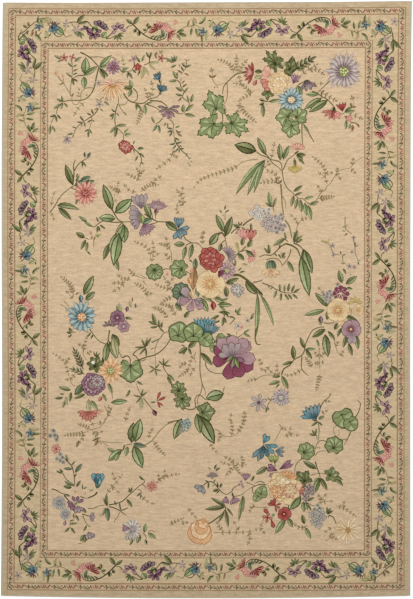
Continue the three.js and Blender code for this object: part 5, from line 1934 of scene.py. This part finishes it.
class Finish:
    """A material, and the one way in which its nodes are added."""

    def __init__(self, name, roughness, specular):
        self.material = bpy.data.materials.new(name)
        self.material.use_nodes = True
        self.tree = self.material.node_tree
        self.shader = self.tree.nodes["Principled BSDF"]
        self.shader.inputs["Roughness"].default_value = roughness
        self.shader.inputs["Specular IOR Level"].default_value = specular

    def connect(self, socket, value):
        """Give a socket a link or a plain value."""
        if isinstance(value, Socket):
            self.tree.links.new(value.socket, socket)
        else:
            socket.default_value = value

    def node(self, kind, settings=None, sockets=None, output=0):
        """Add a node of a type: its settings, then the links or values of its sockets."""
        node = self.tree.nodes.new(f"ShaderNode{kind}")
        for name, value in (settings or {}).items():
            setattr(node, name, value)
        for key, value in (sockets or {}).items():
            self.connect(node.inputs[key], value)
        return Socket(self, node.outputs[output])

    def shade(self, name, value):
        """Feed one of the shader's own sockets."""
        self.connect(self.shader.inputs[name], value)

    def noise(self, features, detail=2.0):
        """Noise on Object coordinates, with features of this size in metres along each axis."""
        where = self.node("TexCoord", output="Object")
        stretched = self.node("VectorMath", {"operation": "DIVIDE"}, {0: where, 1: features})
        sockets = {"Vector": stretched, "Scale": 1.0, "Detail": detail}
        return self.node("TexNoise", {"noise_dimensions": "3D"}, sockets)

    def scaled(self, colour, factor):
        """A colour made lighter or darker by a factor."""
        return self.node("VectorMath", {"operation": "SCALE"}, {0: colour, "Scale": factor})

    def tinted(self, colour, share, tint):
        """A colour with a share of a tint multiplied in."""
        settings = {"data_type": "RGBA", "blend_type": "MULTIPLY"}
        return self.node("Mix", settings, {0: share, 6: colour, 7: tint}, output=2)

    def bump(self, height, distance, strength):
        """Relief from a height, its distance in metres."""
        return self.node("Bump", None, {"Height": height, "Distance": distance, "Strength": strength})


# The sizes in metres, across the rug, along it and up, of what varies in the wool
SLUB_SIZE = (0.03, 0.0064, 0.01)
GRAIN_SIZE = (0.0066, 0.0056, 0.01)
BLOTCH_SIZE = (0.11, 0.05, 0.01)
WARMTH_SIZE = (0.05, 0.012, 0.01)
YARN_TURN_SIZE = (0.011, 0.011, 0.02)
FIBRE_SIZE = (0.0016, 0.0016, 0.004)
WARM_TINT = (1.0, 0.95, 0.9, 1)


def woven_finish():
    """Flat-woven wool: the dyes, with slubs along the weft, a fine grain, faint blotches and
    warmer streaks. The slubs and the grain lighten and darken the dyes partly as the yarn's own
    uneven tone and partly as painted shade of the weave's relief, lighter where the bump rises."""
    finish = Finish("woven wool", roughness=0.95, specular=0.12)
    dye = finish.node("VertexColor", {"layer_name": "dye"})
    slubs = finish.noise(SLUB_SIZE)
    grain = finish.noise(GRAIN_SIZE, detail=1.0)
    blotches = finish.noise(BLOTCH_SIZE)
    # painted shade of the weave, with the yarn's own uneven tone: the slubs and grain that raise the bump
    # also scale the dye
    light = 1 + 0.6 * (slubs - 0.5) + 0.4 * (grain - 0.5) + 0.08 * (blotches - 0.5)
    warmer = finish.tinted(dye, (finish.noise(WARMTH_SIZE) - 0.35) * 1.6, WARM_TINT)
    finish.shade("Base Color", finish.scaled(warmer, light))
    finish.shade("Normal", finish.bump(slubs + 0.5 * grain, 0.0009, 0.35))
    return finish.material


def yarn_finish():
    """The edging's greyish yarn, a little uneven from turn to turn."""
    finish = Finish("edging yarn", roughness=0.93, specular=0.15)
    turns = finish.noise(YARN_TURN_SIZE)
    fibres = finish.noise(FIBRE_SIZE)
    light = 1 + 0.22 * (turns - 0.5) + 0.2 * (fibres - 0.5)
    base = finish.node("RGB")
    base.socket.default_value = (*linear(EDGING), 1)
    finish.shade("Base Color", finish.scaled(base, light))
    finish.shade("Normal", finish.bump(fibres, 0.0005, 0.4))
    return finish.material


# The rug, its groups of plants in the order in which they are laid

FIELD = [
    head_left, head_middle, head_right,
    upper_left, upper_middle, upper_right,
    middle_left, middle_right, centre,
    lower_left, lower_middle, lower_right,
    foot_left, foot_middle, foot_right,
]

design = Design(cloth_outline(), MARGIN)
for inset, dye in BANDS:
    lay_band(design, inset, dye)
lay_guards(design)
lay_border(design)
for group in FIELD:
    group(design)

cloth = woven_sheet("woven_rug", design)
cloth.data.materials.append(woven_finish())

yarn = yarn_finish()
edgings = [
    side_edging("overcast_left", -1, "edging_left"),
    side_edging("overcast_right", 1, "edging_right"),
    end_edging("overcast_head", 1, "edging_head"),
    end_edging("overcast_foot", -1, "edging_foot"),
]
for edging in edgings:
    edging.data.shade_smooth()
    edging.data.materials.append(yarn)

# The floor, a plain white studio sweep just below the rug
FLOOR_REACH = 12
FLOOR_DROP = 0.0004
floor_mesh = bpy.data.meshes.new("floor")
floor_corners = [(-FLOOR_REACH, -FLOOR_REACH, 0), (FLOOR_REACH, -FLOOR_REACH, 0),
                 (FLOOR_REACH, FLOOR_REACH, 0), (-FLOOR_REACH, FLOOR_REACH, 0)]
floor_mesh.from_pydata(floor_corners, [], [(0, 1, 2, 3)])
floor = bpy.data.objects.new("floor", floor_mesh)
bpy.context.scene.collection.objects.link(floor)
sweep = Finish("studio white", roughness=0.9, specular=0.1)
sweep.shade("Base Color", (0.86, 0.86, 0.86, 1))
sweep.shade("Emission Color", (1, 1, 1, 1))
sweep.shade("Emission Strength", 0.4)
floor_mesh.materials.append(sweep.material)
floor.location.z = -FLOOR_DROP

# A broad soft light beyond the head end, and light from all round
LIGHT_POWER = 172.0
LIGHT_SIZE = 3.0
LIGHT_PLACE = (0.0, 1.6, 5.0)
ROOM_LIGHT = 0.4
lamp_data = bpy.data.lights.new("soft_light", "AREA")
lamp_data.energy = LIGHT_POWER
lamp_data.size = LIGHT_SIZE
lamp = bpy.data.objects.new("soft_light", lamp_data)
lamp.location = LIGHT_PLACE
bpy.context.scene.collection.objects.link(lamp)
room = bpy.data.worlds.new("room")
room.use_nodes = True
room.node_tree.nodes["Background"].inputs["Color"].default_value = (1, 1, 1, 1)
room.node_tree.nodes["Background"].inputs["Strength"].default_value = ROOM_LIGHT
bpy.context.scene.world = room
bpy.context.scene.view_settings.view_transform = "Standard"

# The camera, straight above, with a long lens. The frame is 599 pixels high.
PIXEL_SIZE = 0.004092
FRAME_HEIGHT = 599 * PIXEL_SIZE
CAMERA_HEIGHT = 9.0
SENSOR_HEIGHT = 24.0
camera_data = bpy.data.cameras.new("camera")
camera_data.sensor_fit = "VERTICAL"
camera_data.sensor_height = SENSOR_HEIGHT
camera_data.lens = SENSOR_HEIGHT * (CAMERA_HEIGHT - CLOTH_THICKNESS) / FRAME_HEIGHT
camera = bpy.data.objects.new("camera", camera_data)
camera.location = (0.0, 0.0, CAMERA_HEIGHT)
bpy.context.scene.collection.objects.link(camera)
bpy.context.scene.camera = camera
